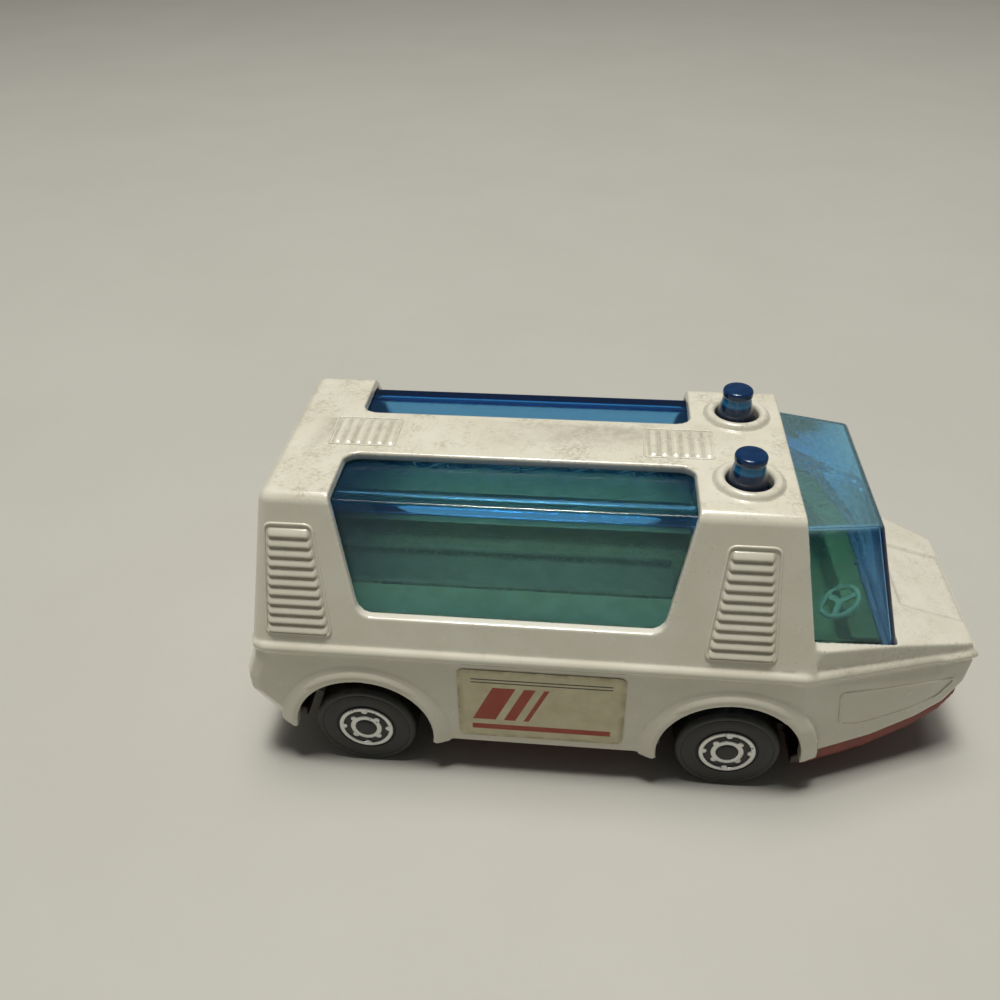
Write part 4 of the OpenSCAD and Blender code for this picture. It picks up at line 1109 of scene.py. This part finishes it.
bay_points = [v.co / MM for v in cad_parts["bay_glazing"].data.vertices]
bay_floor = min(p.z for p in bay_points)
bay_roof = max(p.z for p in bay_points)
bay_foot = max(p.y for p in bay_points if p.z < bay_floor + 0.01)
bay_fold = max(p.y for p in bay_points if p.z > bay_roof - 0.01)
bay_window = bay_form("bay_window", min(p.x for p in bay_points), max(p.x for p in bay_points),
                      (bay_foot, bay_floor), (bay_fold, bay_roof), PANE, reach_out=0.35, reach_in=2.2)
smooth(bay_window.data, PANE_CREASE)
seat(bay_window, "vehicle", "blue_glazing", "bay_glazing")
print("bay window fold at", round(bay_fold, 2), round(bay_roof, 2))
print("bay window foot at", round(bay_foot, 2), round(bay_floor, 2))

# %% [markdown]
# ## Turned forms
# Beacons and wheels are round, so each is a profile turned about an axis. A screw modifier would do it
# too, but a short function keeps control of the poles, which close in one point.

# %% Beacons
def turned(name, profile, centre, axis, finish, count=96):
    """Turn a profile of (radius, height) points about an axis through a centre."""
    along = Vector(axis).normalized()
    across = Vector((1, 0, 0)) if abs(along.x) < 0.9 else Vector((0, 0, 1))
    other = along.cross(across)
    points = []
    for radius, height in profile:
        for k in range(count):
            turn = 2 * math.pi * k / count
            spoke = across * math.cos(turn) + other * math.sin(turn)
            points.append(Vector(centre) + along * height + spoke * radius)
    made = from_points(name, points, ring_faces(len(profile), count), finish)
    smooth(made.data, CREASE)
    return made


def arc(centre, radius, start, end, steps):
    """Points on an arc, angles in degrees, as (radius, height)."""
    turns = [math.radians(start + (end - start) * k / steps) for k in range(steps + 1)]
    return [(centre[0] + radius * math.cos(turn), centre[1] + radius * math.sin(turn)) for turn in turns]


BEACON_X = 11.35
BEACON_Y = 5.75
LENS = ([(0, -1.9), (2.5, -1.9), (2.5, -1.35), (1.75, -1.35), (1.75, 0.0), (1.70, 0.5),
         (1.34, BEACON_STEP - 0.12), (1.33, BEACON_STEP)]
        + arc((1.36, BEACON_STEP + 0.14), 0.09, -90, 0, 4)
        + arc((1.15, 2.62), 0.30, 0, 80, 8) + [(0.7, 2.965), (0.0, 2.995)])
for s, hand in HANDS:
    lens = turned("lens_" + hand, LENS, (BEACON_X, s * BEACON_Y, BEACON_FOOT), (0, 0, 1), beacon_blue)
    seat(lens, "vehicle", "beacon_blue", "beacon_" + hand)

# %% [markdown]
# ## Wheels
# Each wheel is one black moulding with rounded shoulders, a fine moulded ring near the edge and a domed
# centre. Silver foil is stamped on its hub as two rings with small tabs. The tabs repeat round the
# hub, so a second node tree sets them on the points of a circle.

# %% Wheels
WHEEL_INNER_Y = 11.0
TREAD = ([(0.62, 0.0), (2.6, 0.0), (2.9, 0.05), (4.2, 0.05)] + arc((4.5, 0.55), 0.55, -90, 0, 6)
         + arc((4.45, 3.4), 0.6, 0, 72, 7)
         + [(4.42, 3.985), (4.36, 3.93), (4.30, 3.985), (3.4, 3.96), (2.98, 3.985), (2.94, 3.9), (2.88, 3.86),
            (2.80, 3.86), (2.75, 3.93), (2.69, 4.0), (1.0, 4.0), (0.97, 4.06), (0.86, 4.13), (0.6, 4.18),
            (0.3, 4.198), (0.0, 4.2), (0.0, 3.3), (0.62, 3.3), (0.62, 0.0)])
for place, x in AXLES.items():
    for s, hand in HANDS:
        body = "wheel_" + place + "_" + hand
        centre = (x, s * WHEEL_INNER_Y, WHEEL_R)
        wheel = turned("tyre_" + place + "_" + hand, TREAD, centre, (0, s, 0), tyre_black, 128)
        seat(wheel, body, "wheel_plastic", body)

# %% Node tree for the hub foil
def foil_tree():
    """A ring, with tabs set round it on the points of a circle."""
    tree, given, result = start_tree("hub_foil", (
        ("Ring", "Object"), ("Tab", "Object"), ("Tabs", "Int"), ("Tab Radius", "Float"),
        ("Turn", "Float"), ("Finish", "Material")))
    circle = tree_step(tree, "GeometryNodeMeshCircle",
                       {"Vertices": given["Tabs"], "Radius": given["Tab Radius"]})
    spin = tree_step(tree, "ShaderNodeCombineXYZ", {"Z": given["Turn"]})
    turn = tree_step(tree, "GeometryNodeTransform", {"Geometry": circle, "Rotation": spin})
    tab = tree_step(tree, "GeometryNodeObjectInfo", {"Object": given["Tab"]}, "Geometry")
    copies = tree_step(tree, "GeometryNodeInstanceOnPoints", {"Points": turn, "Instance": tab})
    ring = tree_step(tree, "GeometryNodeObjectInfo", {"Object": given["Ring"]}, "Geometry")
    both = tree.nodes.new("GeometryNodeJoinGeometry")
    for part in (copies, ring):
        tree.links.new(part, both.inputs["Geometry"])
    end_tree(tree, both.outputs["Geometry"], given["Finish"], result)
    return tree


hub_foil_tree = foil_tree()
print("tree:", hub_foil_tree.name, len(hub_foil_tree.nodes), "nodes")

# %% Hub foil
HUB_Y = 15.0
FOIL_T = 0.1
FOIL_SUNK = -0.05


def foil_ring(name, inner, outer):
    """A flat ring with a rounded rim, made at the origin along Z."""
    profile = [(inner, FOIL_SUNK), (inner, 0.06), (inner + 0.04, FOIL_T), (outer - 0.04, FOIL_T),
               (outer, 0.06), (outer, FOIL_SUNK), (inner, FOIL_SUNK)]
    return turned(name, profile, (0, 0, 0), (0, 0, 1), foil_silver)


def foil_disc(name, radius):
    """A small round tab, a little thinner than the rings."""
    top = FOIL_T - 0.005
    profile = [(0, FOIL_SUNK), (radius, FOIL_SUNK), (radius, 0.055), (radius - 0.04, top), (0, top)]
    return turned(name, profile, (0, 0, 0), (0, 0, 1), foil_silver, 40)


outer_ring = foil_ring("outer_ring", 2.29, 2.69)
inner_ring = foil_ring("inner_ring", 1.07, 1.555)
tab_disc = foil_disc("tab_disc", 0.33)
for place, x in AXLES.items():
    for s, hand in HANDS:
        node = "hub_foil_" + place + "_" + hand
        parts = []
        for ring, radius, turn in ((outer_ring, 2.26, 0.0), (inner_ring, 1.58, math.pi / 4)):
            parts.append(grow(hub_foil_tree, ring.name + "_" + node, {
                "Ring": ring, "Tab": tab_disc, "Tabs": 4, "Tab Radius": radius * MM,
                "Turn": turn, "Finish": foil_silver}))
        work = bmesh.new()
        for part in parts:
            work.from_mesh(part.data)
        foil_mesh = bpy.data.meshes.new("foil_" + place + "_" + hand)
        work.to_mesh(foil_mesh)
        work.free()
        for part in parts:
            bpy.data.objects.remove(part)
        out = Matrix.Translation((x * MM, s * HUB_Y * MM, WHEEL_R * MM))
        foil_mesh.transform(out @ Matrix.Rotation(math.radians(-90 * s), 4, "X"))
        foil = link("foil_" + place + "_" + hand, foil_mesh, foil_silver)
        smooth(foil_mesh, CREASE)
        seat(foil, "wheel_" + place + "_" + hand, "hub_foil", node)
for form in (outer_ring, inner_ring, tab_disc):
    bpy.data.objects.remove(form)

# %% [markdown]
# ## Inside, base and tailgate
# The interior is a plastic moulding, the base and the tailgate are castings, and all three have the
# same soft edges as the body, so the same remesh makes them. Ahead of the front wheels the underside
# of the base lies a little lower than in the solid, so that its red edge shows below the chin.

# %% Interior, base and tailgate
SOFT_PIECES = (
    ("interior_moulding", "cabin_insert", ivory, "vehicle", "interior_plastic", 0.17, 3, 60000),
    ("base_plate", "base_casting", base_red, "vehicle", "base_paint", 0.16, 3, 60000),
    ("tailgate", "tail_door", enamel, "tailgate", "enamel", 0.12, 3, 50000))
# The underside of the base drops from a station on, and less so towards the nose
DROP_FROM = 18.5
DROP_FADE = 0.8
DROP_MOST = 0.45
TAPER_FROM = 24
TAPER_LEN = 9
TAPER_SHARE = 0.6


def deepen_chin(mesh):
    """Lower the underside of the base ahead of the front wheels, so that more of its edge shows."""
    places, normals = points_of(mesh)
    spots = places / MM
    down = ramp(-normals[:, 2], start=0.1, length=0.4)
    taper = 1 - TAPER_SHARE * ramp(spots[:, 0], TAPER_FROM, TAPER_LEN)
    spots[:, 2] -= DROP_MOST * down * (ramp(spots[:, 0], DROP_FROM, DROP_FADE) * taper)
    move_points(mesh, spots)


for node, name, finish, body, slot, voxel, rounds, most in SOFT_PIECES:
    piece = soften(merged_copy(node, name), voxel * (1), rounds, most)
    if node == "base_plate":
        deepen_chin(piece.data)
    dress(piece.data, finish)
    seat(piece, body, slot, node)

# %% [markdown]
# ## Steel, labels and the steering wheel
# These small pieces keep their exact shapes, and only take a finish.

# %% Finishes on the exact nodes
for node, finish in (("front_axle", wire), ("rear_axle", wire), ("tailgate_pin", wire), ("rivets", wire),
                     ("steering_wheel", rim_ivory), ("label_right", label_paper),
                     ("label_left", label_paper)):
    dress(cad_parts[node].data, finish)
    print(node, "takes", finish.name)
